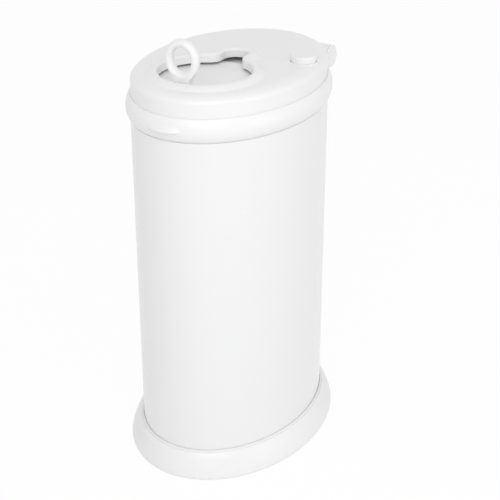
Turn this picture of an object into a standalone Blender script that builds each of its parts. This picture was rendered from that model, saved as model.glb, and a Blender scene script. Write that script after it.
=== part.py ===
"""Oval nappy bin: a steel tube in a moulded base, under a hinged lid with a sliding door.

Metres, +Z up. The origin is on the floor at the centre of the body's oval, the front is at -Y,
and the hinge is at the back. Offsets are measured outwards from the steel tube's outer face.
"""

import math

import bmesh
import bpy
import numpy as np
from mathutils import Matrix, Vector

# Body
BODY_HALF_WIDTH = 0.1120
BODY_HALF_DEPTH = 0.1537
STEEL_WALL = 0.0010
STEEL_TOP = 0.4663

# Turns and facet counts
FULL_TURN = 2.0 * math.pi
HALF_TURN = math.pi
QUARTER_TURN = math.pi / 2.0
SHARP_ANGLE = math.radians(30.0)
OVAL_STATIONS = 48
SMALL_STATIONS = 12

# Clearances
FIT_GAP = 0.0003
PIN_GAP = 0.0004
SCREW_GAP = 0.0004
SKIN_GAP = 0.0004
CUT_OVERRUN = 0.0020

# Base
PLATE_THICK = 0.0030
PLATE_OFFSET = 0.0120
SKIRT_OFFSET = 0.0175
SKIRT_HEIGHT = 0.0350
SKIRT_FOOT_ROUND = 0.0030
SKIRT_FOOT_STEPS = 3
SKIRT_POWER = 1.65
SKIRT_WALL = 0.0026
SKIRT_STEPS = 5
SKIRT_FLANGE_THICK = 0.0022
SKIRT_FLANGE_INSET = 0.0110
PAN_WALL = 0.0028
PAN_HEIGHT = 0.0371
PAN_FOOT_HEIGHT = 0.0047
PAN_FLOOR_THICK = 0.0026
PAN_BEAD = 0.0010
PAN_FOOT_OUTER = 0.0040
PAN_FOOT_INNER = 0.0160
BASE_SCREW_COUNT = 6

# Screws and rivets
SCREW_HEAD_RADIUS = 0.0030
SCREW_HEAD_HEIGHT = 0.0016
SCREW_SHANK_RADIUS = 0.0015
SCREW_RECESS = 0.0003
BASE_SCREW_LENGTH = 0.0072
TRACK_SCREW_LENGTH = 0.0145
HANDLE_SCREW_LENGTH = 0.0105

# Body rim and bag ring
RIM_FLANGE_THICK = 0.0015
RIM_FLANGE_WIDTH = 0.0055
RIM_WALL = 0.0024
RIM_DEPTH = 0.0201
RIM_LEDGE_DROP = 0.0113
RIM_LEDGE_THICK = 0.0020
RIM_LEDGE_WIDTH = 0.0088
BAG_RING_WIDTH = 0.0056
BAG_RING_HEIGHT = 0.0086
BAG_RING_ROUND = 0.0016
BAG_RING_GAP = 0.0006

# Lid frame
COLLAR_HEIGHT = 0.0275
COLLAR_WALL = 0.0025
COLLAR_FOOT_OFFSET = 0.0014
COLLAR_TOP_OFFSET = 0.0002
COLLAR_BULGE = 0.0048
COLLAR_BULGE_POWER = 0.75
COLLAR_STEPS = 6
COLLAR_FLANGE_RISE = 0.0022
COLLAR_FLANGE_THICK = 0.0020
COLLAR_FLANGE_INSET = 0.0075
GROOVE_DEPTH = 0.0027
GROOVE_FLOOR_THICK = 0.0025
RISER_WALL = 0.0025
RISER_HEIGHT = 0.0132
SHELF_THICK = 0.0024
SHELF_INSET = 0.0220
GASKET_HEIGHT = 0.0019
GASKET_WIDTH = 0.0034

# Finger tab on the collar
TAB_HALF_WIDTH = 0.0230
TAB_REACH = 0.0065
TAB_RISE = 0.0130
TAB_HEIGHT = 0.0080
TAB_LIP = 0.0014
TAB_ROOT = 0.0020
TAB_STEPS = 12

# Lid cover
COVER_OFFSET = -0.0014
COVER_WALL = 0.0025
COVER_RISE = 0.0261
SHOULDER_WIDTH = 0.0186
SHOULDER_HEIGHT = 0.0090
SHOULDER_STEPS = 4
BOSS_RADIUS = 0.0040
BOSS_ROOT = 0.0020

# Keyhole mouth in the cover
MOUTH_RADIUS_SHARE = 0.5134
MOUTH_FRONT_INSET = 0.0337
MOUTH_FILLET = 0.0165
SLOT_HALF_WIDTH = 0.0160
SLOT_STRAIGHT = 0.0070
LIP_WIDTH = 0.0145
LIP_HEIGHT = 0.0050
LIP_EDGE = 0.0025
LIP_WALL = 0.0024
LIP_DROP = 0.0060
LIP_SINK = 0.0004
LIP_STEPS = 4
LIP_EDGE_STEPS = 2
MOUTH_CUT_SHARE = 0.70
MOUTH_ARC_STEPS = 10
FILLET_STEPS = 3
REAR_ARC_STEPS = 4

# Sliding door and its track
TRACK_THICK = 0.0030
TRACK_HOLE_INSET = 0.0035
TRACK_STATIONS = 32
SEAL_INSET = 0.0020
SEAL_WIDTH = 0.0030
SEAL_DEPTH = 0.0017
DOOR_THICK = 0.0030
DOOR_OVERLAP = 0.0050
DOOR_REAR_LENGTH = 0.0320
DOOR_SIDE_RUN = 0.0425
DOOR_STEPS = 14
RAIL_GAP = 0.0006
RAIL_WIDTH = 0.0025
RAIL_HEIGHT = 0.0053
RAIL_LIP = 0.0022
RAIL_LIP_THICK = 0.0016
RAIL_RUNS = ((0.0025, 0.0575), (0.1075, 0.1705))

# Ring handle on the door
RING_SETBACK = 0.0075
RING_RISE = 0.0391
RING_HALF_WIDTH = 0.0177
RING_HALF_HEIGHT = 0.0199
RING_HALF_DEPTH = 0.0063
RING_HALF_THICK = 0.0049
RING_STATIONS = 28
RING_SECTION_STATIONS = 10
RING_FOOT_HALF_WIDTH = 0.0108
RING_FOOT_HALF_DEPTH = 0.0055
NECK_RISE = 0.0130
NECK_ANGLE = math.radians(50.0)
NECK_STEPS = 4
NECK_ARC_STEPS = 8
HANDLE_SCREW_SPREAD = 0.0050

# Lock button
BUTTON_SIDE_INSET = 0.0295
BUTTON_Y_SHARE = 0.2245
BUTTON_RADIUS = 0.0156
BUTTON_RISE = 0.0086
BUTTON_SKIRT = 0.0008
BUTTON_WALL = 0.0018
BUTTON_ROUND = 0.0016
BUTTON_STATIONS = 32
BUTTON_STEM_RADIUS = 0.0040
BUTTON_PEG_RADIUS = 0.0022
CUP_WALL = 0.0026
CUP_RIM = 0.0004
CUP_FLOOR_THICK = 0.0015
CUP_DEPTH = 0.0047
CATCH_THICK = 0.0020
CATCH_HUB_RADIUS = 0.0070
CATCH_TIP_INSET = 0.0125
CATCH_DOOR_GAP = 0.0043
CATCH_TIP_RADIUS = 0.0030
SPRING_RADIUS = 0.0085
SPRING_WALL = 0.0012

# Hinge
HINGE_SETBACK = 0.0133
HINGE_RISE = 0.0193
EAR_RADIUS = 0.0150
EAR_GAP = 0.0006
EAR_WIDTH = 0.0321
EAR_ROOT_INSET = 0.0337
EAR_STEPS = 10
HINGE_CAP_THICK = 0.0020
HINGE_CAP_ROUND = 0.0006
HINGE_PIN_RADIUS = 0.0030
KNUCKLE_RADIUS = 0.0070
BRACKET_HALF_WIDTH = 0.0240
BRACKET_GAP = 0.0017
BRACKET_WEB = 0.0055
BRACKET_PAD_DROP = 0.0044
BRACKET_PAD_HEIGHT = 0.0420
BRACKET_PAD_THICK = 0.0058
BRACKET_ROOT_INSET = 0.0137
RIVET_EDGE = 0.0100
RIVET_RISES = (0.0070, 0.0190)
RIVET_SHANK_RADIUS = 0.0021
RIVET_HEAD_RADIUS = 0.0040
RIVET_HEAD_HEIGHT = 0.0016
RIVET_DOME_SHARE = 0.6

# Places along the oval, worked out from the sizes above
MOUTH_RADIUS = MOUTH_RADIUS_SHARE * BODY_HALF_WIDTH
MOUTH_Y = MOUTH_RADIUS + MOUTH_FRONT_INSET - BODY_HALF_DEPTH
MOUTH_REACH = MOUTH_RADIUS + MOUTH_FILLET
FILLET_X = SLOT_HALF_WIDTH + MOUTH_FILLET
FILLET_Y = MOUTH_Y + math.sqrt(MOUTH_REACH * MOUTH_REACH - FILLET_X * FILLET_X)
SLOT_ARC_Y = FILLET_Y + SLOT_STRAIGHT
TRACK_HOLE_RADIUS = MOUTH_RADIUS - TRACK_HOLE_INSET
SEAL_INNER_RADIUS = MOUTH_RADIUS - SEAL_INSET
DOOR_HALF_WIDTH = MOUTH_RADIUS + DOOR_OVERLAP
DOOR_SIDE_END_Y = MOUTH_Y + DOOR_SIDE_RUN
RING_Y = MOUTH_Y - MOUTH_RADIUS + RING_SETBACK
BUTTON_X = BODY_HALF_WIDTH - BUTTON_SIDE_INSET
BUTTON_Y = BUTTON_Y_SHARE * BODY_HALF_DEPTH
HINGE_Y = BODY_HALF_DEPTH + HINGE_SETBACK
EAR_ROOT_Y = BODY_HALF_DEPTH - EAR_ROOT_INSET
EAR_INNER_X = BRACKET_HALF_WIDTH + EAR_GAP
EAR_OUTER_X = EAR_INNER_X + EAR_WIDTH
RIVET_SPREAD = BRACKET_HALF_WIDTH - RIVET_EDGE
BRACKET_ROOT_Y = BODY_HALF_DEPTH - BRACKET_ROOT_INSET

# Heights, worked out from the pieces below
PAN_FLOOR_BOTTOM = PLATE_THICK + FIT_GAP + PAN_FOOT_HEIGHT
PAN_FLOOR_TOP = PAN_FLOOR_BOTTOM + PAN_FLOOR_THICK
PAN_OUTER = SKIN_GAP + PAN_WALL
STEEL_BOTTOM = PAN_FLOOR_TOP + FIT_GAP
RIM_TOP = STEEL_TOP + FIT_GAP + RIM_FLANGE_THICK
RIM_OUTER = -(STEEL_WALL + SKIN_GAP)
RIM_INNER = RIM_OUTER - RIM_WALL
RIM_LEDGE_TOP = RIM_TOP - RIM_LEDGE_DROP
FRAME_LOW = RIM_TOP + FIT_GAP
SEAM_Z = FRAME_LOW + COLLAR_HEIGHT
GROOVE_FLOOR = SEAM_Z - GROOVE_DEPTH
COVER_LOW = GROOVE_FLOOR + FIT_GAP
COVER_TOP = SEAM_Z + COVER_RISE
COVER_INNER = COVER_OFFSET - COVER_WALL
SHELF_TOP = GROOVE_FLOOR + RISER_HEIGHT
TRACK_LOW = SHELF_TOP + FIT_GAP
TRACK_TOP = TRACK_LOW + TRACK_THICK
DOOR_LOW = TRACK_TOP + FIT_GAP
DOOR_TOP = DOOR_LOW + DOOR_THICK
RING_FOOT_LOW = DOOR_TOP + FIT_GAP
RING_Z = DOOR_TOP + RING_RISE
CUP_FLOOR_TOP = COVER_TOP - CUP_DEPTH
CUP_FLOOR_LOW = CUP_FLOOR_TOP - CUP_FLOOR_THICK
CUP_INNER_RADIUS = BUTTON_RADIUS + PIN_GAP
CUP_OUTER_RADIUS = CUP_INNER_RADIUS + CUP_WALL
CATCH_TOP = CUP_FLOOR_LOW - FIT_GAP
BUTTON_TOP = COVER_TOP + BUTTON_RISE
HINGE_Z = FRAME_LOW + HINGE_RISE
BRACKET_PAD_TOP = FRAME_LOW - BRACKET_PAD_DROP
BRACKET_PAD_BOTTOM = BRACKET_PAD_TOP - BRACKET_PAD_HEIGHT

# Places of the screws, as shares of the oval's half sizes
TRACK_SCREW_SHARES = ((0.46, -0.75), (0.83, -0.13), (0.665, 0.545))

WHITE_PLASTIC = ("white_plastic", (0.86, 0.86, 0.86), 0.28, 0.0)
COATED_STEEL = ("coated_steel", (0.82, 0.82, 0.82), 0.22, 0.0)
ZINC = ("zinc_screw", (0.62, 0.62, 0.63), 0.35, 1.0)
RUBBER = ("seal_rubber", (0.55, 0.55, 0.56), 0.7, 0.0)


def clear_scene():
    for item in list(bpy.data.objects):
        bpy.data.objects.remove(item, do_unlink=True)


def finish(look):
    """The Principled material of one finish, made once."""
    name, colour, roughness, metallic = look
    made = bpy.data.materials.get(name)
    if made is None:
        made = bpy.data.materials.new(name)
        made.use_nodes = True
        shader = made.node_tree.nodes["Principled BSDF"]
        shader.inputs["Base Color"].default_value = (*colour, 1.0)
        shader.inputs["Roughness"].default_value = roughness
        shader.inputs["Metallic"].default_value = metallic
    return made


def skin(loops, ring=False):
    """A closed mesh through loops of points: a ring joins its last loop to its first, a stack is capped."""
    mesh = bmesh.new()
    rows = [[mesh.verts.new(Vector(point)) for point in loop] for loop in loops]
    pairs = list(zip(rows, rows[1:]))
    if ring:
        pairs.append((rows[-1], rows[0]))
    else:
        mesh.faces.new(rows[0])
        mesh.faces.new(rows[-1])
    for low, high in pairs:
        for here in range(len(low)):
            there = (here + 1) % len(low)
            mesh.faces.new((low[here], low[there], high[there], high[here]))
    bmesh.ops.recalc_face_normals(mesh, faces=mesh.faces)
    return mesh


def piece(name, mesh, look, pivot=None):
    """An object from a mesh drawn in place, hung on its pivot."""
    data = bpy.data.meshes.new(name)
    start = pivot.location if pivot else Vector()
    mesh.transform(Matrix.Translation(-start))
    mesh.to_mesh(data)
    mesh.free()
    data.shade_smooth()
    data.set_sharp_from_angle(angle=SHARP_ANGLE)
    made = bpy.data.objects.new(name, data)
    bpy.context.scene.collection.objects.link(made)
    made.data.materials.append(finish(look))
    if pivot:
        made.parent = pivot
    else:
        made.location = start
    return made


def tool(name, mesh):
    """A hidden body that cuts or joins."""
    made = piece(name, mesh, WHITE_PLASTIC)
    made.hide_render = True
    made.display_type = "WIRE"
    return made


def work(target, other, operation):
    change = target.modifiers.new(other.name, "BOOLEAN")
    change.operation = operation
    change.solver = "EXACT"
    change.object = other


def cut(target, other):
    work(target, other, "DIFFERENCE")


def fuse(target, other):
    work(target, other, "UNION")


def axis_empty(name, place):
    """The empty that a moving body hangs on, placed on its joint's axis."""
    made = bpy.data.objects.new(name, None)
    made.location = place
    bpy.context.scene.collection.objects.link(made)
    return made


def oval(offset, height):
    """The body's oval, grown by the offset, at one height."""
    turn = np.linspace(0.0, FULL_TURN, OVAL_STATIONS, endpoint=False)
    x = (BODY_HALF_WIDTH + offset) * np.cos(turn)
    y = (BODY_HALF_DEPTH + offset) * np.sin(turn)
    return np.column_stack([x, y, np.full_like(x, height)])


def oval_ring(section):
    return skin([oval(*point) for point in section], ring=True)


def oval_stack(section):
    return skin([oval(*point) for point in section])


def circle(centre, radius, height, stations):
    turn = np.linspace(0.0, FULL_TURN, stations, endpoint=False)
    x = centre[0] + radius * np.cos(turn)
    y = centre[1] + radius * np.sin(turn)
    return np.column_stack([x, y, np.full_like(x, height)])


def turned(centre, section, stations, ring=False):
    """A body turned about a vertical axis, from (radius, height) points."""
    return skin([circle(centre, radius, height, stations) for radius, height in section], ring)


def prism(outline, low, high):
    """An upright prism over an outline of (x, y) points."""
    points = np.asarray(outline)
    return skin([np.column_stack([points, np.full(len(points), z)]) for z in (low, high)])


def side_prism(outline, left, right):
    """A prism along X over an outline of (y, z) points."""
    points = np.asarray(outline)
    return skin([np.column_stack([np.full(len(points), x), points]) for x in (left, right)])


def disc_outline(centre, radius, stations):
    return circle(centre, radius, 0.0, stations)[:, :2]


def joined(meshes):
    """Several separate shapes as one mesh, for cutting or joining in one go."""
    whole = bmesh.new()
    for part in meshes:
        data = bpy.data.meshes.new("part")
        part.to_mesh(data)
        part.free()
        whole.from_mesh(data)
        bpy.data.meshes.remove(data)
    return whole


def oval_place(share_x, share_y):
    return BODY_HALF_WIDTH * share_x, BODY_HALF_DEPTH * share_y


def screw(name, centre, low, length, pivot=None):
    """A pan screw driven upwards: head at the bottom, shank above it."""
    neck = low + SCREW_HEAD_HEIGHT
    section = ((SCREW_HEAD_RADIUS, low), (SCREW_HEAD_RADIUS, neck),
               (SCREW_SHANK_RADIUS, neck), (SCREW_SHANK_RADIUS, low + length))
    return piece(name, turned(centre, section, SMALL_STATIONS), ZINC, pivot)


def screw_hole(centre, low, high):
    return turned(centre, ((SCREW_SHANK_RADIUS + SCREW_GAP, low), (SCREW_SHANK_RADIUS + SCREW_GAP, high)),
                  SMALL_STATIONS)


def head_hole(centre, low, high):
    return turned(centre, ((SCREW_HEAD_RADIUS + SCREW_GAP, low), (SCREW_HEAD_RADIUS + SCREW_GAP, high)),
                  SMALL_STATIONS)


def base_screw_places():
    """Evenly turned round the middle of the pan's foot."""
    inset = (PAN_FOOT_INNER + PAN_FOOT_OUTER) / 2.0
    turns = [FULL_TURN * (step + 0.5) / BASE_SCREW_COUNT for step in range(BASE_SCREW_COUNT)]
    return [((BODY_HALF_WIDTH - inset) * math.cos(turn), (BODY_HALF_DEPTH - inset) * math.sin(turn))
            for turn in turns]


def track_screw_places():
    return [oval_place(side * x, y) for x, y in TRACK_SCREW_SHARES for side in (1, -1)]


def base_floor():
    """The flat plate that the bin stands on."""
    section = ((PLATE_OFFSET, 0.0), (PLATE_OFFSET, PLATE_THICK))
    plate = piece("base_floor", oval_stack(section), WHITE_PLASTIC)
    seat = SCREW_RECESS + SCREW_HEAD_HEIGHT + FIT_GAP
    heads = [head_hole(centre, -CUT_OVERRUN, seat) for centre in base_screw_places()]
    shanks = [screw_hole(centre, seat - CUT_OVERRUN, PLATE_THICK + CUT_OVERRUN)
              for centre in base_screw_places()]
    cut(plate, tool("floor_head_holes", joined(heads)))
    cut(plate, tool("floor_shank_holes", joined(shanks)))


def base_shell():
    """The tapering skirt: a rounded foot, a slightly bowed slope and a flange that sits on the floor plate."""
    lip = PAN_OUTER + SKIN_GAP
    reach = SKIRT_OFFSET - lip
    rise = SKIRT_HEIGHT - SKIRT_FOOT_ROUND

    def slope(turn, wall):
        out = (reach - wall) * math.cos(turn) ** SKIRT_POWER
        return lip + out, SKIRT_FOOT_ROUND + (rise - wall) * math.sin(turn) ** SKIRT_POWER

    corner = SKIRT_OFFSET - SKIRT_FOOT_ROUND
    rounds = [QUARTER_TURN * step / SKIRT_FOOT_STEPS for step in range(SKIRT_FOOT_STEPS)]
    toe = [(corner + SKIRT_FOOT_ROUND * math.sin(t), SKIRT_FOOT_ROUND * (1.0 - math.cos(t))) for t in rounds]
    turns = [QUARTER_TURN * step / SKIRT_STEPS for step in range(SKIRT_STEPS)]
    outer = [slope(turn, 0.0) for turn in turns] + [(lip, SKIRT_HEIGHT)]
    inner = [(lip, SKIRT_HEIGHT - SKIRT_WALL)] + [slope(turn, SKIRT_WALL) for turn in reversed(turns[1:])]
    inside = SKIRT_OFFSET - SKIRT_WALL
    flange_low = PLATE_THICK + FIT_GAP
    flange_top = flange_low + SKIRT_FLANGE_THICK
    foot = PLATE_OFFSET + SKIN_GAP
    section = toe + outer + inner
    section += [(inside, flange_top), (inside - SKIRT_FLANGE_INSET, flange_top),
                (inside - SKIRT_FLANGE_INSET, flange_low), (foot, flange_low), (foot, 0.0)]
    piece("base_shell", oval_ring(section), WHITE_PLASTIC)


def base_pan():
    """The inner pan whose wall grips the foot of the steel tube and shows as a thin bead."""
    foot_low = PLATE_THICK + FIT_GAP
    section = ((-PAN_FOOT_INNER - PAN_FLOOR_THICK, PAN_FLOOR_BOTTOM), (-PAN_FOOT_INNER, PAN_FLOOR_BOTTOM),
               (-PAN_FOOT_INNER, foot_low), (-PAN_FOOT_OUTER, foot_low), (-PAN_FOOT_OUTER, PAN_FLOOR_BOTTOM),
               (PAN_OUTER, PAN_FLOOR_BOTTOM), (PAN_OUTER, PAN_HEIGHT - PAN_BEAD),
               (PAN_OUTER - PAN_BEAD, PAN_HEIGHT), (SKIN_GAP, PAN_HEIGHT), (SKIN_GAP, PAN_FLOOR_TOP),
               (-PAN_FOOT_INNER, PAN_FLOOR_TOP))
    pan = piece("base_pan", oval_stack(section), WHITE_PLASTIC)
    top = SCREW_RECESS + BASE_SCREW_LENGTH + FIT_GAP
    holes = [screw_hole(centre, PLATE_THICK - CUT_OVERRUN, top) for centre in base_screw_places()]
    cut(pan, tool("pan_screw_holes", joined(holes)))


def base_screws():
    for number, centre in enumerate(base_screw_places(), 1):
        screw(f"base_screw_{number}", centre, SCREW_RECESS, BASE_SCREW_LENGTH)


def rivet_places():
    return [(side * RIVET_SPREAD, BRACKET_PAD_BOTTOM + rise) for rise in RIVET_RISES for side in (1, -1)]


def rivet_body(place, radius, near, far):
    """A rod along Y at one rivet's place."""
    turn = np.linspace(0.0, FULL_TURN, SMALL_STATIONS, endpoint=False)
    x = place[0] + radius * np.cos(turn)
    z = place[1] + radius * np.sin(turn)
    return [np.column_stack([x, np.full_like(x, y), z]) for y in (near, far)]


def steel_body():
    """The powder-coated oval tube."""
    section = ((0.0, STEEL_BOTTOM), (0.0, STEEL_TOP), (-STEEL_WALL, STEEL_TOP), (-STEEL_WALL, STEEL_BOTTOM))
    tube = piece("steel_body", oval_ring(section), COATED_STEEL)
    near = BRACKET_ROOT_Y
    far = BODY_HALF_DEPTH + BRACKET_PAD_THICK
    holes = [skin(rivet_body(place, RIVET_SHANK_RADIUS + PIN_GAP, near, far)) for place in rivet_places()]
    cut(tube, tool("steel_rivet_holes", joined(holes)))


def body_rim():
    """The ring that caps the tube's upper edge, with a ledge for the bag ring."""
    flange_low = STEEL_TOP + FIT_GAP
    ledge_low = RIM_LEDGE_TOP - RIM_LEDGE_THICK
    low = RIM_TOP - RIM_DEPTH
    section = ((0.0, flange_low), (0.0, RIM_TOP),
               (-RIM_FLANGE_WIDTH, RIM_TOP), (-RIM_FLANGE_WIDTH, flange_low),
               (RIM_INNER, flange_low - RIM_FLANGE_THICK), (RIM_INNER, RIM_LEDGE_TOP),
               (RIM_INNER - RIM_LEDGE_WIDTH, RIM_LEDGE_TOP), (RIM_INNER - RIM_LEDGE_WIDTH, ledge_low),
               (RIM_INNER, ledge_low), (RIM_INNER, low), (RIM_OUTER, low), (RIM_OUTER, flange_low))
    piece("body_rim", oval_ring(section), WHITE_PLASTIC)


def bag_ring():
    """The loose ring over which the bag's edge is folded."""
    outer = -(RIM_FLANGE_WIDTH + BAG_RING_GAP)
    inner = outer - BAG_RING_WIDTH
    low = RIM_LEDGE_TOP + FIT_GAP
    high = low + BAG_RING_HEIGHT
    section = ((outer, low), (outer, high - BAG_RING_ROUND), (outer - BAG_RING_ROUND, high),
               (inner + BAG_RING_ROUND, high), (inner, high - BAG_RING_ROUND), (inner, low))
    piece("bag_ring", oval_ring(section), WHITE_PLASTIC)


def collar_offset(share):
    """The collar's outer face at a share of its height: a straight taper plus a bulge."""
    taper = COLLAR_FOOT_OFFSET + (COLLAR_TOP_OFFSET - COLLAR_FOOT_OFFSET) * share
    return taper + COLLAR_BULGE * math.sin(HALF_TURN * share) ** COLLAR_BULGE_POWER


def collar_face(first, last, inset):
    """Points up the collar's face between two shares of its height, moved inwards by the inset."""
    shares = [first + (last - first) * step / COLLAR_STEPS for step in range(COLLAR_STEPS + 1)]
    return [(collar_offset(share) - inset, FRAME_LOW + COLLAR_HEIGHT * share) for share in shares]


def lid_frame_section():
    """Collar wall, lower flange, groove for the cover, riser and the shelf that carries the track."""
    flange_low = FRAME_LOW + COLLAR_FLANGE_RISE
    flange_top = flange_low + COLLAR_FLANGE_THICK
    floor_low = GROOVE_FLOOR - GROOVE_FLOOR_THICK
    groove_outer = COVER_OFFSET + SKIN_GAP
    riser_outer = COVER_INNER - FIT_GAP
    riser_inner = riser_outer - RISER_WALL
    shelf_low = SHELF_TOP - SHELF_THICK
    first = (flange_top - FRAME_LOW) / COLLAR_HEIGHT
    last = (floor_low - FRAME_LOW) / COLLAR_HEIGHT
    section = collar_face(0.0, 1.0, 0.0)
    section += [(groove_outer, SEAM_Z), (groove_outer, GROOVE_FLOOR), (riser_outer, GROOVE_FLOOR),
                (riser_outer, SHELF_TOP), (-SHELF_INSET, SHELF_TOP), (-SHELF_INSET, shelf_low),
                (riser_inner, shelf_low), (riser_inner, floor_low)]
    section += list(reversed(collar_face(first, last, COLLAR_WALL)))[::2]
    foot_inner = COLLAR_FOOT_OFFSET - COLLAR_WALL
    section += [(-COLLAR_FLANGE_INSET, flange_top), (-COLLAR_FLANGE_INSET, flange_low),
                (foot_inner, flange_low), (foot_inner, FRAME_LOW)]
    return section


def finger_tab():
    """A crescent ledge on the collar's front: it reaches out most at the middle, with a crisp lower lip."""
    low = FRAME_LOW + TAB_RISE - TAB_LIP
    rows = []
    for step in range(TAB_STEPS + 1):
        across = 2.0 * step / TAB_STEPS - 1.0
        reach = TAB_REACH * (1.0 - across * across)
        turn = math.asin(across * TAB_HALF_WIDTH / BODY_HALF_WIDTH)
        out = np.array([math.sin(turn), -math.cos(turn)])
        row = []
        for offset, height in ((COLLAR_BULGE - TAB_ROOT, low + TAB_LIP + TAB_HEIGHT),
                               (COLLAR_BULGE + reach, low + TAB_LIP),
                               (COLLAR_BULGE + reach, low),
                               (COLLAR_BULGE - TAB_ROOT, low)):
            x = (BODY_HALF_WIDTH + offset) * out[0]
            y = (BODY_HALF_DEPTH + offset) * out[1]
            row.append((x, y, height))
        rows.append(row)
    return skin(rows)


def ear_outline():
    """The ear's side view: a round end about the hinge axis, run forwards into the collar."""
    turns = [QUARTER_TURN - HALF_TURN * step / EAR_STEPS for step in range(EAR_STEPS + 1)]
    round_end = [(HINGE_Y + EAR_RADIUS * math.cos(t), HINGE_Z + EAR_RADIUS * math.sin(t)) for t in turns]
    return [(EAR_ROOT_Y, HINGE_Z + EAR_RADIUS)] + round_end + [(EAR_ROOT_Y, HINGE_Z - EAR_RADIUS)]


def ears():
    """Both ears, hollowed to follow the collar's wall and to clear the cover."""
    both = [side_prism(ear_outline(), side * EAR_INNER_X, side * EAR_OUTER_X) for side in (1, -1)]
    made = tool("ear_blocks", joined(both))
    half_wall = COLLAR_WALL / 2.0
    wall = [(FRAME_LOW - CUT_OVERRUN, COLLAR_FOOT_OFFSET - half_wall)]
    wall += [(height, offset) for offset, height in collar_face(0.0, 1.0, half_wall)]
    clear = COVER_OFFSET + SKIN_GAP
    core = [(offset, height) for height, offset in wall if offset > clear]
    core += [(clear, SEAM_Z), (clear, COVER_TOP)]
    cut(made, tool("ear_core", oval_stack(core)))
    return made


def hinge_bore():
    turn = disc_outline((HINGE_Y, HINGE_Z), HINGE_PIN_RADIUS + PIN_GAP, SMALL_STATIONS)
    return side_prism(turn, -EAR_OUTER_X - CUT_OVERRUN, EAR_OUTER_X + CUT_OVERRUN)


def lid_frame(lid):
    frame = piece("lid_frame", oval_ring(lid_frame_section()), WHITE_PLASTIC, lid)
    fuse(frame, tool("tab_block", finger_tab()))
    fuse(frame, ears())
    cut(frame, tool("ear_bore", hinge_bore()))
    low = SHELF_TOP - SHELF_THICK - CUT_OVERRUN
    holes = [screw_hole(centre, low, SHELF_TOP + CUT_OVERRUN) for centre in track_screw_places()]
    cut(frame, tool("shelf_screw_holes", joined(holes)))


def lid_gasket(lid):
    """The soft ring under the lid's edge that closes on the body rim."""
    outer = COLLAR_FOOT_OFFSET - COLLAR_WALL - FIT_GAP
    inner = outer - GASKET_WIDTH
    low = FRAME_LOW
    high = low + GASKET_HEIGHT
    piece("lid_gasket", oval_ring(((outer, low), (outer, high), (inner, high), (inner, low))), RUBBER, lid)


def keyhole(offset, height):
    """The mouth's outline: a round hole and a rear slot, joined by fillets, grown by the offset."""
    lean = math.atan2(FILLET_Y - MOUTH_Y, FILLET_X)

    def arc(centre, radius, start, end, steps):
        return [(centre[0] + radius * math.cos(start + (end - start) * step / steps),
                 centre[1] + radius * math.sin(start + (end - start) * step / steps))
                for step in range(steps + 1)]

    right = arc((0.0, SLOT_ARC_Y), SLOT_HALF_WIDTH + offset, QUARTER_TURN, 0.0, REAR_ARC_STEPS)
    right += arc((FILLET_X, FILLET_Y), MOUTH_FILLET - offset, HALF_TURN, HALF_TURN + lean, FILLET_STEPS)
    right += arc((0.0, MOUTH_Y), MOUTH_RADIUS + offset, lean, -QUARTER_TURN, MOUTH_ARC_STEPS)[1:]
    left = [(-x, y) for x, y in reversed(right[1:-1])]
    points = np.array(right + left)
    return np.column_stack([points, np.full(len(points), height)])


def lip_slope(share):
    """Height of the raised lip over the level top, falling from its crest to its outer crease."""
    return COVER_TOP + LIP_HEIGHT * math.cos(QUARTER_TURN * share)


def mouth_lip():
    """The raised lip round the mouth: an upright inner wall, a rounded edge and a falling outer slope."""
    low = COVER_TOP - LIP_DROP
    crest = COVER_TOP + LIP_HEIGHT
    spread = LIP_WIDTH - LIP_EDGE
    turns = [QUARTER_TURN * step / LIP_EDGE_STEPS for step in range(LIP_EDGE_STEPS + 1)]
    edge = [(LIP_EDGE - LIP_EDGE * math.cos(t), crest - LIP_EDGE + LIP_EDGE * math.sin(t)) for t in turns]
    shares = [(step + 1) / LIP_STEPS for step in range(LIP_STEPS)]
    outer = [(LIP_EDGE + spread * share, lip_slope(share) - LIP_SINK * share) for share in shares]
    inner = [(LIP_EDGE + spread * share, max(lip_slope(share) - LIP_WALL, COVER_TOP - COVER_WALL + LIP_SINK))
             for share in reversed(shares)]
    section = [(0.0, low)] + edge + outer + inner + [(LIP_WALL, crest - LIP_WALL), (LIP_WALL, low)]
    return skin([keyhole(*point) for point in section], ring=True)


def cover_section():
    """Inside of the cover from its level top down, then its outside from the skirt up."""
    turns = [QUARTER_TURN * step / SHOULDER_STEPS for step in range(SHOULDER_STEPS + 1)]
    start = COVER_TOP - SHOULDER_HEIGHT

    def shoulder(side, wall):
        width = SHOULDER_WIDTH - wall
        height = SHOULDER_HEIGHT - wall
        return [(side - width + width * math.cos(t), start + height * math.sin(t)) for t in turns]

    inner = list(reversed(shoulder(COVER_INNER, COVER_WALL)))
    outer = shoulder(COVER_OFFSET, 0.0)
    return inner + [(COVER_INNER, COVER_LOW), (COVER_OFFSET, COVER_LOW)] + outer


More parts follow.
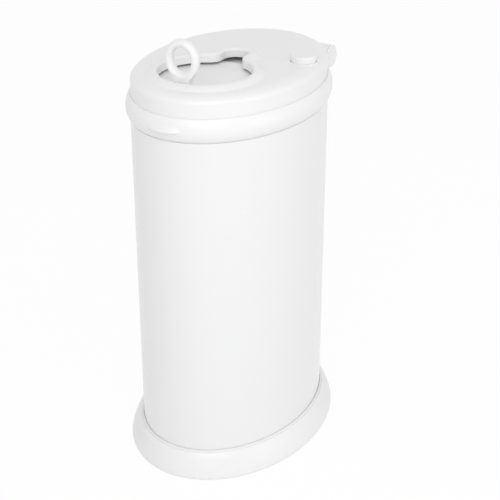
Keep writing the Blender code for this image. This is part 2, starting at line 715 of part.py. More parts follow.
def lid_cover(lid):
    cover = piece("lid_cover", oval_stack(cover_section()), WHITE_PLASTIC, lid)
    hole = MOUTH_CUT_SHARE * LIP_WIDTH
    low = COVER_TOP - SHOULDER_HEIGHT
    high = COVER_TOP + CUT_OVERRUN
    cut(cover, tool("mouth_cut", skin([keyhole(hole, low), keyhole(hole, high)])))
    fuse(cover, tool("mouth_lip", mouth_lip()))
    centre = (BUTTON_X, BUTTON_Y)
    cup_top = COVER_TOP + CUP_RIM
    section = ((CUP_OUTER_RADIUS, CUP_FLOOR_LOW), (CUP_OUTER_RADIUS, cup_top))
    fuse(cover, tool("button_cup", turned(centre, section, BUTTON_STATIONS)))
    boss_low = TRACK_TOP + FIT_GAP
    boss_high = COVER_TOP - BOSS_ROOT
    bosses = [turned(place, ((BOSS_RADIUS, boss_low), (BOSS_RADIUS, boss_high)), SMALL_STATIONS)
              for place in track_screw_places()]
    fuse(cover, tool("screw_bosses", joined(bosses)))
    well = turned(centre, ((CUP_INNER_RADIUS, CUP_FLOOR_TOP), (CUP_INNER_RADIUS, high)), BUTTON_STATIONS)
    cut(cover, tool("button_well", well))
    stem = BUTTON_STEM_RADIUS + PIN_GAP
    floor_hole = turned(centre, ((stem, CUP_FLOOR_LOW - CUT_OVERRUN), (stem, high)), BUTTON_STATIONS)
    cut(cover, tool("stem_hole", floor_hole))
    depth = track_screw_low() + TRACK_SCREW_LENGTH + FIT_GAP
    holes = [screw_hole(place, boss_low - CUT_OVERRUN, depth) for place in track_screw_places()]
    cut(cover, tool("boss_holes", joined(holes)))


def track_rails():
    """Low guides with inward lips along both sides of the door."""
    near = DOOR_HALF_WIDTH + RAIL_GAP
    far = near + RAIL_WIDTH
    lip_top = TRACK_TOP + RAIL_HEIGHT
    lip_low = lip_top - RAIL_LIP_THICK
    root = TRACK_TOP - TRACK_THICK / 2.0
    made = []
    for side in (1, -1):
        for start, end in RAIL_RUNS:
            outline = [(near, root), (far, root), (far, lip_top), (near - RAIL_LIP, lip_top),
                       (near - RAIL_LIP, lip_low), (near, lip_low)]
            loops = [[(side * x, MOUTH_Y + run, z) for x, z in outline] for run in (start, end)]
            made.append(skin(loops))
    return joined(made)


def track_plate(lid):
    """The fixed plate under the door, with the round drop hole."""
    edge = COVER_INNER - SKIN_GAP - FIT_GAP
    plate = piece("track_plate", oval_stack(((edge, TRACK_LOW), (edge, TRACK_TOP))), WHITE_PLASTIC, lid)
    fuse(plate, tool("track_rails", track_rails()))
    centre = (0.0, MOUTH_Y)
    over = TRACK_TOP + CUT_OVERRUN
    hole = turned(centre, ((TRACK_HOLE_RADIUS, TRACK_LOW - CUT_OVERRUN), (TRACK_HOLE_RADIUS, over)),
                  TRACK_STATIONS)
    cut(plate, tool("drop_hole", hole))
    inner = SEAL_INNER_RADIUS - FIT_GAP
    outer = SEAL_INNER_RADIUS + SEAL_WIDTH + FIT_GAP
    low = TRACK_TOP - SEAL_DEPTH - FIT_GAP
    section = ((inner, low), (outer, low), (outer, over), (inner, over))
    cut(plate, tool("seal_groove", turned(centre, section, TRACK_STATIONS, ring=True)))
    holes = [screw_hole(place, TRACK_LOW - CUT_OVERRUN, over) for place in track_screw_places()]
    cut(plate, tool("track_screw_holes", joined(holes)))


def track_screw_low():
    return SHELF_TOP - SHELF_THICK - FIT_GAP - SCREW_HEAD_HEIGHT


def track_screws(lid):
    for number, centre in enumerate(track_screw_places(), 1):
        screw(f"track_screw_{number}", centre, track_screw_low(), TRACK_SCREW_LENGTH, lid)


def door_seal(lid):
    """The soft ring in the track plate that the closed door lies on."""
    outer = SEAL_INNER_RADIUS + SEAL_WIDTH
    low = TRACK_TOP - SEAL_DEPTH
    section = ((SEAL_INNER_RADIUS, low), (outer, low), (outer, TRACK_TOP), (SEAL_INNER_RADIUS, TRACK_TOP))
    piece("door_seal", turned((0.0, MOUTH_Y), section, TRACK_STATIONS, ring=True), RUBBER, lid)


def door_outline():
    """Round in front, straight at the sides, and a half ellipse behind."""
    half = DOOR_HALF_WIDTH
    front = [(half * math.cos(t), MOUTH_Y + half * math.sin(t))
             for t in np.linspace(-HALF_TURN, 0.0, 2 * DOOR_STEPS + 1)]
    rear = [(half * math.cos(t), DOOR_SIDE_END_Y + DOOR_REAR_LENGTH * math.sin(t))
            for t in np.linspace(0.0, HALF_TURN, DOOR_STEPS + 1)]
    return front + rear


def handle_screw_places():
    return [(side * HANDLE_SCREW_SPREAD, RING_Y) for side in (1, -1)]


def slide_door(carriage):
    door = piece("slide_door", prism(door_outline(), DOOR_LOW, DOOR_TOP), WHITE_PLASTIC, carriage)
    seat = DOOR_LOW + SCREW_RECESS + SCREW_HEAD_HEIGHT + FIT_GAP
    heads = [head_hole(centre, DOOR_LOW - CUT_OVERRUN, seat) for centre in handle_screw_places()]
    shanks = [screw_hole(centre, seat - FIT_GAP, DOOR_TOP + CUT_OVERRUN) for centre in handle_screw_places()]
    cut(door, tool("door_head_holes", joined(heads)))
    cut(door, tool("door_shank_holes", joined(shanks)))


def finger_ring():
    """A slightly upright ring about the Y axis with an oval section."""
    around = np.linspace(0.0, FULL_TURN, RING_SECTION_STATIONS, endpoint=False)
    beside = RING_Y + RING_HALF_DEPTH * np.sin(around)
    grown = RING_HALF_THICK * np.cos(around)
    rows = []
    for turn in np.linspace(0.0, FULL_TURN, RING_STATIONS, endpoint=False):
        rows.append(np.column_stack([(RING_HALF_WIDTH + grown) * math.cos(turn), beside,
                                     RING_Z + (RING_HALF_HEIGHT + grown) * math.sin(turn)]))
    return skin(rows, ring=True)


def handle_foot():
    """The foot under the ring: upright sides that flare out to meet the ring's outer edge."""
    top_x = (RING_HALF_WIDTH + RING_HALF_THICK) * math.cos(NECK_ANGLE)
    top_z = RING_Z - (RING_HALF_HEIGHT + RING_HALF_THICK) * math.sin(NECK_ANGLE)
    start = DOOR_TOP + NECK_RISE
    shares = [step / NECK_STEPS for step in range(NECK_STEPS + 1)]
    flare = [(RING_FOOT_HALF_WIDTH + (top_x - RING_FOOT_HALF_WIDTH) * share * share,
              start + (top_z - start) * share) for share in shares]
    inside = [(RING_HALF_WIDTH * math.cos(turn), RING_Z + RING_HALF_HEIGHT * math.sin(turn))
              for turn in np.linspace(-NECK_ANGLE, NECK_ANGLE - HALF_TURN, NECK_ARC_STEPS + 1)]
    right = [(RING_FOOT_HALF_WIDTH, RING_FOOT_LOW)] + flare
    left = [(-x, z) for x, z in reversed(right)]
    outline = np.array(right + inside + left)
    loops = [np.column_stack([outline[:, 0], np.full(len(outline), RING_Y + side), outline[:, 1]])
             for side in (-RING_FOOT_HALF_DEPTH, RING_FOOT_HALF_DEPTH)]
    return skin(loops)


def ring_handle(carriage):
    handle = piece("ring_handle", finger_ring(), WHITE_PLASTIC, carriage)
    fuse(handle, tool("handle_foot", handle_foot()))
    depth = DOOR_LOW + SCREW_RECESS + HANDLE_SCREW_LENGTH + FIT_GAP
    holes = [screw_hole(centre, RING_FOOT_LOW - CUT_OVERRUN, depth) for centre in handle_screw_places()]
    cut(handle, tool("handle_screw_holes", joined(holes)))


def handle_screws(carriage):
    for number, centre in enumerate(handle_screw_places(), 1):
        screw(f"handle_screw_{number}", centre, DOOR_LOW + SCREW_RECESS, HANDLE_SCREW_LENGTH, carriage)


def lock_button(lock):
    """A round cap with a skirt, a stem through the cup's floor and a peg that holds the catch."""
    low = COVER_TOP - BUTTON_SKIRT
    under = BUTTON_TOP - BUTTON_WALL
    inside = BUTTON_RADIUS - BUTTON_WALL
    peg_low = CATCH_TOP - CATCH_THICK + FIT_GAP
    stem_low = CATCH_TOP + FIT_GAP
    section = ((BUTTON_RADIUS - BUTTON_ROUND, BUTTON_TOP), (BUTTON_RADIUS, BUTTON_TOP - BUTTON_ROUND),
               (BUTTON_RADIUS, low), (inside, low), (inside, under), (BUTTON_STEM_RADIUS, under),
               (BUTTON_STEM_RADIUS, stem_low), (BUTTON_PEG_RADIUS, stem_low), (BUTTON_PEG_RADIUS, peg_low))
    piece("lock_button", turned((BUTTON_X, BUTTON_Y), section, BUTTON_STATIONS), WHITE_PLASTIC, lock)


def lock_catch(lock):
    """A flat arm from the button's stem to a tip that drops in behind the closed door."""
    hub = np.array((BUTTON_X, BUTTON_Y))
    tip_x = DOOR_HALF_WIDTH - CATCH_TIP_INSET
    share = tip_x / DOOR_HALF_WIDTH
    door_edge = DOOR_SIDE_END_Y + DOOR_REAR_LENGTH * math.sqrt(1.0 - share * share)
    tip = np.array((tip_x, door_edge + CATCH_DOOR_GAP + CATCH_TIP_RADIUS))
    run = tip - hub
    length = math.hypot(*run)
    aim = math.atan2(run[1], run[0])
    spread = math.acos((CATCH_HUB_RADIUS - CATCH_TIP_RADIUS) / length)
    outline = []
    for centre, radius, start, end in ((hub, CATCH_HUB_RADIUS, aim + spread, aim + FULL_TURN - spread),
                                       (tip, CATCH_TIP_RADIUS, aim - spread, aim + spread)):
        for turn in np.linspace(start, end, SMALL_STATIONS):
            outline.append(centre + radius * np.array((math.cos(turn), math.sin(turn))))
    low = CATCH_TOP - CATCH_THICK
    catch = piece("lock_catch", prism(outline, low, CATCH_TOP), WHITE_PLASTIC, lock)
    radius = BUTTON_PEG_RADIUS + PIN_GAP
    bore = turned(hub, ((radius, low - CUT_OVERRUN), (radius, CATCH_TOP + CUT_OVERRUN)), SMALL_STATIONS)
    cut(catch, tool("catch_bore", bore))


def lock_spring(lid):
    """The spring under the button, as the sleeve of its outer shape."""
    low = CUP_FLOOR_TOP + FIT_GAP
    high = BUTTON_TOP - BUTTON_WALL - FIT_GAP
    inner = SPRING_RADIUS - SPRING_WALL
    section = ((SPRING_RADIUS, low), (SPRING_RADIUS, high), (inner, high), (inner, low))
    piece("lock_spring", turned((BUTTON_X, BUTTON_Y), section, SMALL_STATIONS, ring=True), ZINC, lid)


def side_turned(section, stations):
    """A body turned about the hinge axis, from (radius, x) points."""
    loops = []
    for radius, x in section:
        outline = disc_outline((HINGE_Y, HINGE_Z), radius, stations)
        loops.append(np.column_stack([np.full(len(outline), x), outline]))
    return skin(loops)


def hinge_pin():
    half = EAR_OUTER_X - FIT_GAP
    section = ((HINGE_PIN_RADIUS, -half), (HINGE_PIN_RADIUS, half))
    piece("hinge_pin", side_turned(section, SMALL_STATIONS), ZINC)


def hinge_caps(lid):
    """Round covers on the outer ends of the ears."""
    near = EAR_OUTER_X + FIT_GAP
    far = near + HINGE_CAP_THICK
    for name, side in (("hinge_cap_right", 1), ("hinge_cap_left", -1)):
        section = ((EAR_RADIUS, side * near), (EAR_RADIUS, side * (far - HINGE_CAP_ROUND)),
                   (EAR_RADIUS - HINGE_CAP_ROUND, side * far))
        piece(name, side_turned(section, 2 * EAR_STEPS), WHITE_PLASTIC, lid)


def hinge_bracket():
    """A pad on the steel's back, a web that clears the collar, and the knuckle round the pin."""
    collar_back = BODY_HALF_DEPTH + collar_offset(0.5)
    web_near = collar_back + BRACKET_GAP
    web_far = web_near + BRACKET_WEB
    pad_far = BODY_HALF_DEPTH + BRACKET_PAD_THICK
    knee = BRACKET_PAD_TOP + BRACKET_PAD_THICK
    outline = ((web_near, HINGE_Z), (web_near, knee), (BRACKET_ROOT_Y, BRACKET_PAD_TOP),
               (BRACKET_ROOT_Y, BRACKET_PAD_BOTTOM), (pad_far, BRACKET_PAD_BOTTOM),
               (pad_far, BRACKET_PAD_TOP - BRACKET_PAD_THICK), (web_far, BRACKET_PAD_TOP),
               (web_far, HINGE_Z))
    body = side_prism(outline, -BRACKET_HALF_WIDTH, BRACKET_HALF_WIDTH)
    bracket = piece("hinge_bracket", body, WHITE_PLASTIC)
    knuckle = disc_outline((HINGE_Y, HINGE_Z), KNUCKLE_RADIUS, SMALL_STATIONS)
    fuse(bracket, tool("knuckle_rod", side_prism(knuckle, -BRACKET_HALF_WIDTH, BRACKET_HALF_WIDTH)))
    core = ((FIT_GAP, BRACKET_PAD_BOTTOM - CUT_OVERRUN), (FIT_GAP, BRACKET_PAD_TOP + CUT_OVERRUN),
            (FIT_GAP, FRAME_LOW))
    cut(bracket, tool("bracket_core", oval_stack(core)))
    cut(bracket, tool("knuckle_bore", hinge_bore()))
    near = BRACKET_ROOT_Y
    far = pad_far + CUT_OVERRUN
    holes = [skin(rivet_body(place, RIVET_SHANK_RADIUS + PIN_GAP, near, far)) for place in rivet_places()]
    cut(bracket, tool("bracket_rivet_holes", joined(holes)))


def bracket_rivets():
    """Rivets from inside the tube, domed over the bracket's pad."""
    pad_far = BODY_HALF_DEPTH + BRACKET_PAD_THICK
    reach = (RIVET_SPREAD + RIVET_HEAD_RADIUS) / (BODY_HALF_WIDTH - STEEL_WALL)
    inside = (BODY_HALF_DEPTH - STEEL_WALL) * math.sqrt(1.0 - reach * reach) - FIT_GAP
    dome = pad_far + FIT_GAP
    for number, place in enumerate(rivet_places(), 1):
        rows = rivet_body(place, RIVET_HEAD_RADIUS, inside - RIVET_HEAD_HEIGHT, inside)
        rows += rivet_body(place, RIVET_SHANK_RADIUS, inside, dome)
        rows += rivet_body(place, RIVET_HEAD_RADIUS, dome, dome + RIVET_HEAD_HEIGHT * RIVET_DOME_SHARE)
        rows += rivet_body(place, RIVET_HEAD_RADIUS * RIVET_DOME_SHARE, dome + RIVET_HEAD_HEIGHT,
                           dome + RIVET_HEAD_HEIGHT)[:1]
        piece(f"bracket_rivet_{number}", skin(rows), ZINC)


def main():
    clear_scene()
    lid = axis_empty("lid_axis", (0.0, HINGE_Y, HINGE_Z))
    carriage = axis_empty("door_carriage", (0.0, RING_Y, DOOR_TOP))
    lock = axis_empty("lock_axis", (BUTTON_X, BUTTON_Y, COVER_TOP))
    base_floor()
    base_shell()
    base_pan()
    base_screws()
    steel_body()
    body_rim()
    bag_ring()
    hinge_bracket()
    bracket_rivets()
    hinge_pin()
    lid_frame(lid)
    lid_gasket(lid)
    lid_cover(lid)
    track_plate(lid)
    track_screws(lid)
    door_seal(lid)
    lock_spring(lid)
    hinge_caps(lid)
    slide_door(carriage)
    ring_handle(carriage)
    handle_screws(carriage)
    lock_button(lock)
    lock_catch(lock)


main()
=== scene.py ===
"""Looks of the oval nappy bin: glossy moulded plastic round a powder-coated steel tube.

Shapes are worked out in millimetres in the bin's own frame, and shell() turns them to metres.
An offset is measured outwards from the steel tube's outer face.
"""

import math

import bmesh
import bpy
import numpy as np
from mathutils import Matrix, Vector


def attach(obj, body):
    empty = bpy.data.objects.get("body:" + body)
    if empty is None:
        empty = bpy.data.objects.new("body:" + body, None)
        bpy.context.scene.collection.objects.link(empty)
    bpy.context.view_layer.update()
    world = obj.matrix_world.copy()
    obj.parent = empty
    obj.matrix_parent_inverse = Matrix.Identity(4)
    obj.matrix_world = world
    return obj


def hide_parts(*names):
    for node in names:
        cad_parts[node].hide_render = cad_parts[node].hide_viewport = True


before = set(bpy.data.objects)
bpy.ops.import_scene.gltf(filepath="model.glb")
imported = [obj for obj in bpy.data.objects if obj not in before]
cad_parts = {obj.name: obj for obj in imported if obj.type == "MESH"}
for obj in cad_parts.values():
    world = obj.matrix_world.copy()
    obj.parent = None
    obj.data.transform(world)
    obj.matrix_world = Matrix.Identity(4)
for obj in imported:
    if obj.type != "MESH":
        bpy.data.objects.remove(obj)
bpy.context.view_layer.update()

MM = 0.001
PI = math.pi
HALF_WIDTH = 112.0
HALF_DEPTH = 153.7
OVAL_STATIONS = 256
FINE_STATIONS = 320
SHARP = math.radians(32.0)

# Clearances, base and tube
FIT_GAP = 0.3
SEAM_GAP = 0.15
SKIRT_OFFSET = 17.5
SKIRT_TOP = 35.0
SKIRT_WALL = 2.6
SKIRT_POWER = 1.55
PAN_OFFSET = 3.2
PAN_FOOT = 3.3
PAN_FLOOR_LOW = 8.0
PAN_FLOOR_TOP = 10.6
BEAD_TOP = 37.1
TUBE_FOOT = PAN_FLOOR_TOP + FIT_GAP
TUBE_TOP = 466.3
TUBE_WALL = 1.0

# Heights of the lid, each worked out from the one below it
RIM_TOP = TUBE_TOP + FIT_GAP + 1.5
LEDGE_TOP = RIM_TOP - 11.3
COLLAR_LOW = RIM_TOP + FIT_GAP
COLLAR_HIGH = COLLAR_LOW + 27.5
TAB_LOW = COLLAR_LOW + 11.6
GROOVE_FLOOR = COLLAR_HIGH - 2.7
SHELF_TOP = GROOVE_FLOOR + 13.2
TRACK_LOW = SHELF_TOP + FIT_GAP
TRACK_TOP = TRACK_LOW + 3.0
DOOR_LOW = TRACK_TOP + FIT_GAP
DOOR_TOP = DOOR_LOW + 3.0
LEVEL_TOP = COLLAR_HIGH + 26.1

# Collar and tab
COLLAR_BULGE = 4.8
TAB_REACH = 6.5
TAB_HALF_WIDTH = 23.0
TAB_HEIGHT = 9.3
OFF_TAB = -60.0

# Cover
COVER_OFFSET = -1.4
COVER_WALL = 2.5
SHOULDER_WIDTH = 18.6
SHOULDER_DROP = 9.0
SHOULDER_START = LEVEL_TOP - SHOULDER_DROP
SHOULDER_OFFSET = COVER_OFFSET - SHOULDER_WIDTH
SPLIT_OFFSET = SHOULDER_OFFSET + 6.2

# Keyhole mouth
MOUTH_Y = -62.5
MOUTH_RADIUS = 57.5
SLOT_HALF_WIDTH = 16.0
SLOT_ARC_Y = 11.0
FILLET_RADIUS = 16.5
FILLET = (32.5, 4.02)
FILLET_LEAN = math.atan2(FILLET[1] - MOUTH_Y, FILLET[0])
LIP_WIDTH = 14.5
LIP_HEIGHT = 5.0
LIP_CREST = LEVEL_TOP + LIP_HEIGHT
LIP_EDGE = 2.5

# Track, door and ring
TRACK_INSET = 4.6
DOOR_HALF_WIDTH = 62.5
DOOR_SIDE_END = -20.0
DOOR_REAR = 32.0
RING_Y = -112.5
RING_Z = DOOR_TOP + 39.1
RING_HALF_WIDTH = 17.7
RING_HALF_HEIGHT = 19.9
RING_HALF_THICK = 4.9
RING_HALF_DEPTH = 6.3
FOOT_HALF_WIDTH = 10.8
FOOT_HALF_DEPTH = 5.5
FOOT_EASE = 2.2

# Hinge and button
HINGE_Y = 167.0
HINGE_Z = COLLAR_LOW + 19.3
EAR_RADIUS = 15.0
EAR_INNER = 24.6
EAR_OUTER = 56.7
CAP_THICK = 2.0
BUTTON = (82.5, 34.5)
BUTTON_RADIUS = 15.6
BUTTON_TOP = LEVEL_TOP + 8.6
CUP_FLOOR = LEVEL_TOP - 6.2


# Shared effects

def noise_texture(tree, vector, scale, detail, roughness):
    """Noise on a vector, from 0 to 1."""
    node = tree.nodes.new("ShaderNodeTexNoise")
    node.inputs["Scale"].default_value = scale
    node.inputs["Detail"].default_value = detail
    node.inputs["Roughness"].default_value = roughness
    tree.links.new(vector, node.inputs["Vector"])
    return node


def spread(tree, value, low, high, to_low, to_high):
    """Value taken from one span to another, clamped."""
    node = tree.nodes.new("ShaderNodeMapRange")
    node.inputs["From Min"].default_value = low
    node.inputs["From Max"].default_value = high
    node.inputs["To Min"].default_value = to_low
    node.inputs["To Max"].default_value = to_high
    tree.links.new(value, node.inputs["Value"])
    return node.outputs["Result"]


def blend_values(tree, operation, first, second):
    """One sum of two values, each a number or a socket."""
    node = tree.nodes.new("ShaderNodeMath")
    node.operation = operation
    for socket, value in zip(node.inputs, (first, second)):
        if isinstance(value, (int, float)):
            socket.default_value = value
        else:
            tree.links.new(value, socket)
    return node.outputs[0]


def new_group(name, inputs, outputs):
    """An empty node group with its named sockets."""
    group = bpy.data.node_groups.new(name, "ShaderNodeTree")
    for label, kind, value in inputs:
        socket = group.interface.new_socket(label, in_out="INPUT", socket_type=kind)
        socket.default_value = value
    for label, kind in outputs:
        group.interface.new_socket(label, in_out="OUTPUT", socket_type=kind)
    return group, group.nodes.new("NodeGroupInput"), group.nodes.new("NodeGroupOutput")


def surface_relief_group():
    """Height = fine grain share x fine noise + flow share x long slow waves, both in object space."""
    group, ins, outs = new_group(
        "surface_relief",
        [("Grain Scale", "NodeSocketFloat", 900.0), ("Grain Share", "NodeSocketFloat", 0.3),
         ("Flow Scale", "NodeSocketFloat", 22.0), ("Flow Share", "NodeSocketFloat", 1.0)],
        [("Height", "NodeSocketFloat")])
    place = group.nodes.new("ShaderNodeTexCoord").outputs["Object"]
    grain = noise_texture(group, place, 900.0, 2.0, 0.5)
    group.links.new(ins.outputs["Grain Scale"], grain.inputs["Scale"])
    flow = noise_texture(group, place, 22.0, 1.0, 0.4)
    group.links.new(ins.outputs["Flow Scale"], flow.inputs["Scale"])
    fine = blend_values(group, "MULTIPLY", grain.outputs["Fac"], ins.outputs["Grain Share"])
    slow = blend_values(group, "MULTIPLY", flow.outputs["Fac"], ins.outputs["Flow Share"])
    total = blend_values(group, "ADD", fine, slow)
    group.links.new(total, outs.inputs["Height"])
    return group


def handling_marks_group():
    """Tone = cloudy noise for colour drift; Scuff = thin streaks kept to a few patches; Low Specks = a speckled
    mask, strongest at the floor and gone 5 cm above it, that darkens the colour."""
    group, ins, outs = new_group(
        "handling_marks",
        [("Cloud Scale", "NodeSocketFloat", 9.0), ("Scuff Scale", "NodeSocketFloat", 240.0)],
        [("Tone", "NodeSocketFloat"), ("Scuff", "NodeSocketFloat"), ("Low Specks", "NodeSocketFloat")])
    place = group.nodes.new("ShaderNodeTexCoord").outputs["Object"]
    cloud = noise_texture(group, place, 9.0, 3.0, 0.55)
    group.links.new(ins.outputs["Cloud Scale"], cloud.inputs["Scale"])
    group.links.new(cloud.outputs["Fac"], outs.inputs["Tone"])
    turn = group.nodes.new("ShaderNodeMapping")
    turn.inputs["Rotation"].default_value = (0.3, 0.5, 0.7)
    turn.inputs["Scale"].default_value = (1.0, 0.06, 0.4)
    group.links.new(place, turn.inputs["Vector"])
    streak = noise_texture(group, turn.outputs["Vector"], 240.0, 2.0, 0.6)
    group.links.new(ins.outputs["Scuff Scale"], streak.inputs["Scale"])
    thin = spread(group, streak.outputs["Fac"], 0.66, 0.74, 0.0, 1.0)
    patch = noise_texture(group, place, 14.0, 1.0, 0.5)
    where = spread(group, patch.outputs["Fac"], 0.56, 0.68, 0.0, 1.0)
    group.links.new(blend_values(group, "MULTIPLY", thin, where), outs.inputs["Scuff"])
    # Low specks: a speckled mask that fades out over the lowest 5 cm above the floor
    apart = group.nodes.new("ShaderNodeSeparateXYZ")
    group.links.new(place, apart.inputs["Vector"])
    low = spread(group, apart.outputs["Z"], 0.0, 0.05, 1.0, 0.0)
    speck = noise_texture(group, place, 1400.0, 2.0, 0.6)
    specks = spread(group, speck.outputs["Fac"], 0.55, 0.75, 0.15, 1.0)
    group.links.new(blend_values(group, "MULTIPLY", low, specks), outs.inputs["Low Specks"])
    return group


RELIEF = surface_relief_group()
MARKS = handling_marks_group()


def finish(name, colour, drift, roughness, grain_scale, grain_share, flow_scale, depth, metallic=0.0,
           coat=0.0, dull=0.10, specular=0.5):
    """A Principled finish: colour drifts with the clouds and darkens in specks towards the floor, scuffs and the low
    specks dull the gloss, relief bumps it.
    """
    made = bpy.data.materials.new(name)
    made.use_nodes = True
    tree = made.node_tree
    shader = tree.nodes["Principled BSDF"]
    shader.inputs["Metallic"].default_value = metallic
    shader.inputs["Coat Weight"].default_value = coat
    shader.inputs["Coat Roughness"].default_value = 0.08
    shader.inputs["Specular IOR Level"].default_value = specular
    marks = tree.nodes.new("ShaderNodeGroup")
    marks.node_tree = MARKS
    marks.inputs["Cloud Scale"].default_value = 11.0
    marks.inputs["Scuff Scale"].default_value = 260.0
    tone = tree.nodes.new("ShaderNodeMix")
    tone.data_type = "RGBA"
    tone.inputs["A"].default_value = (*[value - drift for value in colour], 1.0)
    tone.inputs["B"].default_value = (*[value + drift for value in colour], 1.0)
    tree.links.new(marks.outputs["Tone"], tone.inputs["Factor"])
    # Colour darkened by up to 0.14 in specks that fade out over the lowest 5 cm above the floor
    low_specked = tree.nodes.new("ShaderNodeMix")
    low_specked.data_type = "RGBA"
    low_specked.inputs["B"].default_value = (colour[0] * 0.80, colour[1] * 0.79, colour[2] * 0.77, 1.0)
    tree.links.new(tone.outputs["Result"], low_specked.inputs["A"])
    tree.links.new(blend_values(tree, "MULTIPLY", marks.outputs["Low Specks"], 0.14), low_specked.inputs["Factor"])
    tree.links.new(low_specked.outputs["Result"], shader.inputs["Base Color"])
    worn = blend_values(tree, "ADD", blend_values(tree, "MULTIPLY", marks.outputs["Scuff"], 0.6),
                        marks.outputs["Low Specks"])
    cloudy = spread(tree, marks.outputs["Tone"], 0.3, 0.7, roughness - 0.02, roughness + 0.02)
    rough = blend_values(tree, "ADD", cloudy, blend_values(tree, "MULTIPLY", worn, dull))
    tree.links.new(rough, shader.inputs["Roughness"])
    relief = tree.nodes.new("ShaderNodeGroup")
    relief.node_tree = RELIEF
    relief.inputs["Grain Scale"].default_value = grain_scale
    relief.inputs["Grain Share"].default_value = grain_share
    relief.inputs["Flow Scale"].default_value = flow_scale
    relief.inputs["Flow Share"].default_value = 1.0 - grain_share
    bump = tree.nodes.new("ShaderNodeBump")
    bump.inputs["Strength"].default_value = 1.0
    bump.inputs["Distance"].default_value = depth * MM
    tree.links.new(relief.outputs["Height"], bump.inputs["Height"])
    tree.links.new(bump.outputs["Normal"], shader.inputs["Normal"])
    return made


GLOSS_PLASTIC = finish("gloss_moulded_plastic", (0.86, 0.86, 0.862), 0.006, 0.30, 1100.0, 0.30, 26.0, 0.010)
POWDER_COAT = finish("powder_coated_steel", (0.85, 0.85, 0.853), 0.006, 0.24, 640.0, 0.30, 14.0, 0.012)
SATIN_PLASTIC = finish("satin_inner_plastic", (0.80, 0.80, 0.795), 0.012, 0.42, 1500.0, 0.25, 30.0, 0.05)
ZINC = finish("zinc_plate", (0.63, 0.64, 0.65), 0.03, 0.30, 1900.0, 0.5, 90.0, 0.02, metallic=1.0)
RUBBER = finish("soft_seal_rubber", (0.42, 0.42, 0.43), 0.012, 0.62, 2400.0, 0.6, 60.0, 0.03)


# Building blocks

def shell(points, wrap_rows=True):
    """A closed skin over a grid of points, rows x stations: stations join up in a loop, rows join up too
    or end in flat caps. Quads join neighbours, and the sign of the enclosed volume turns them outwards."""
    rows, columns = points.shape[:2]
    row, column = np.meshgrid(np.arange(rows if wrap_rows else rows - 1), np.arange(columns), indexing="ij")
    next_row = (row + 1) % rows
    next_column = (column + 1) % columns
    quads = np.stack([row * columns + column, row * columns + next_column,
                      next_row * columns + next_column, next_row * columns + column], axis=-1).reshape(-1, 4)
    corners = points.reshape(-1, 3) * MM
    first, second, third, fourth = (corners[quads[:, side]] for side in range(4))
    volume = np.sum(first * np.cross(second, third)) + np.sum(first * np.cross(third, fourth))
    faces = quads.tolist()
    if not wrap_rows:
        for cap in (np.arange(columns)[::-1], (rows - 1) * columns + np.arange(columns)):
            edge = corners[cap]
            volume += np.sum(edge[0] * np.cross(edge[1:-1], edge[2:]))
            faces.append(cap.tolist())
    if volume < 0.0:
        faces = [face[::-1] for face in faces]
    return corners, faces


def dress(made, material, body, replaces=()):
    """Gives a finished mesh object its material, its moving body and the nodes it stands for."""
    made.data.materials.clear()
    made.data.materials.append(material)
    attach(made, body)
    if replaces:
        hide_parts(*replaces)
    return made


def mesh_object(name, shells):
    """One object from closed shells set side by side in its mesh, smooth except at sharp edges."""
    vertices = np.concatenate([corners for corners, _ in shells])
    starts = np.cumsum([0] + [len(corners) for corners, _ in shells])
    faces = [[index + start for index in face] for start, (_, group) in zip(starts, shells) for face in group]
    mesh = bpy.data.meshes.new(name)
    mesh.from_pydata(vertices.tolist(), [], faces)
    mesh.shade_smooth()
    mesh.set_sharp_from_angle(angle=SHARP)
    made = bpy.data.objects.new(name, mesh)
    bpy.context.scene.collection.objects.link(made)
    return made


def make(name, shells, material, body, replaces=()):
    """A finished piece from its shells."""
    return dress(mesh_object(name, shells), material, body, replaces)


def outline(corners, closed=True, steps=4):
    """A profile through (across, up, radius) corners: a quadratic curve eases each rounded corner, and a guard
    point just beyond each end keeps the flat beside it flat."""
    made = []
    count = len(corners)
    for here, (across, up, radius) in enumerate(corners):
        point = np.array((across, up), float)
        if radius <= 0.0 or (not closed and here in (0, count - 1)):
            made.append(point[None])
            continue
        back = np.array(corners[here - 1][:2], float) - point
        on = np.array(corners[(here + 1) % count][:2], float) - point
        back_length = np.linalg.norm(back)
        on_length = np.linalg.norm(on)
        back /= back_length
        on /= on_length
        start = point + back * min(radius, 0.42 * back_length)
        end = point + on * min(radius, 0.42 * on_length)
        share = np.linspace(0.0, 1.0, steps + 1)[:, None]
        curve = (1.0 - share) ** 2 * start + 2.0 * share * (1.0 - share) * point + share ** 2 * end
        made += [(start + back * min(0.3, 0.06 * back_length))[None], curve,
                 (end + on * min(0.3, 0.06 * on_length))[None]]
    return np.concatenate(made)


def fixed(points):
    """Points of a dense curve as corners without rounding."""
    return [(across, up, 0.0) for across, up in points]


def around(offset, height, turns):
    """A profile carried round the oval: x = (half width + offset) cos t, y = (half depth + offset) sin t."""
    x = (HALF_WIDTH + offset) * np.cos(turns)
    y = (HALF_DEPTH + offset) * np.sin(turns)
    return np.stack([x, y, np.broadcast_to(height, x.shape)], axis=2)


def oval_ring(profile, stations=OVAL_STATIONS, wrap_rows=True):
    """A profile of (offset, height) carried once round the oval."""
    turns = np.linspace(0.0, 2.0 * PI, stations, endpoint=False)
    return shell(around(profile[:, :1], profile[:, 1:], turns), wrap_rows)


def turned_grid(profile, place, stations, axis="z"):
    """A (radius, along) profile turned about an axis through place: (r cos t, r sin t) across it."""
    turns = np.linspace(0.0, 2.0 * PI, stations, endpoint=False)
    across = profile[:, :1] * np.cos(turns)
    beside = profile[:, :1] * np.sin(turns)
    along = np.broadcast_to(profile[:, 1:], across.shape)
    if axis == "z":
        return np.stack([place[0] + across, place[1] + beside, along], axis=2)
    if axis == "y":
        return np.stack([place[0] + across, along, place[1] + beside], axis=2)
    return np.stack([along, place[0] + across, place[1] + beside], axis=2)


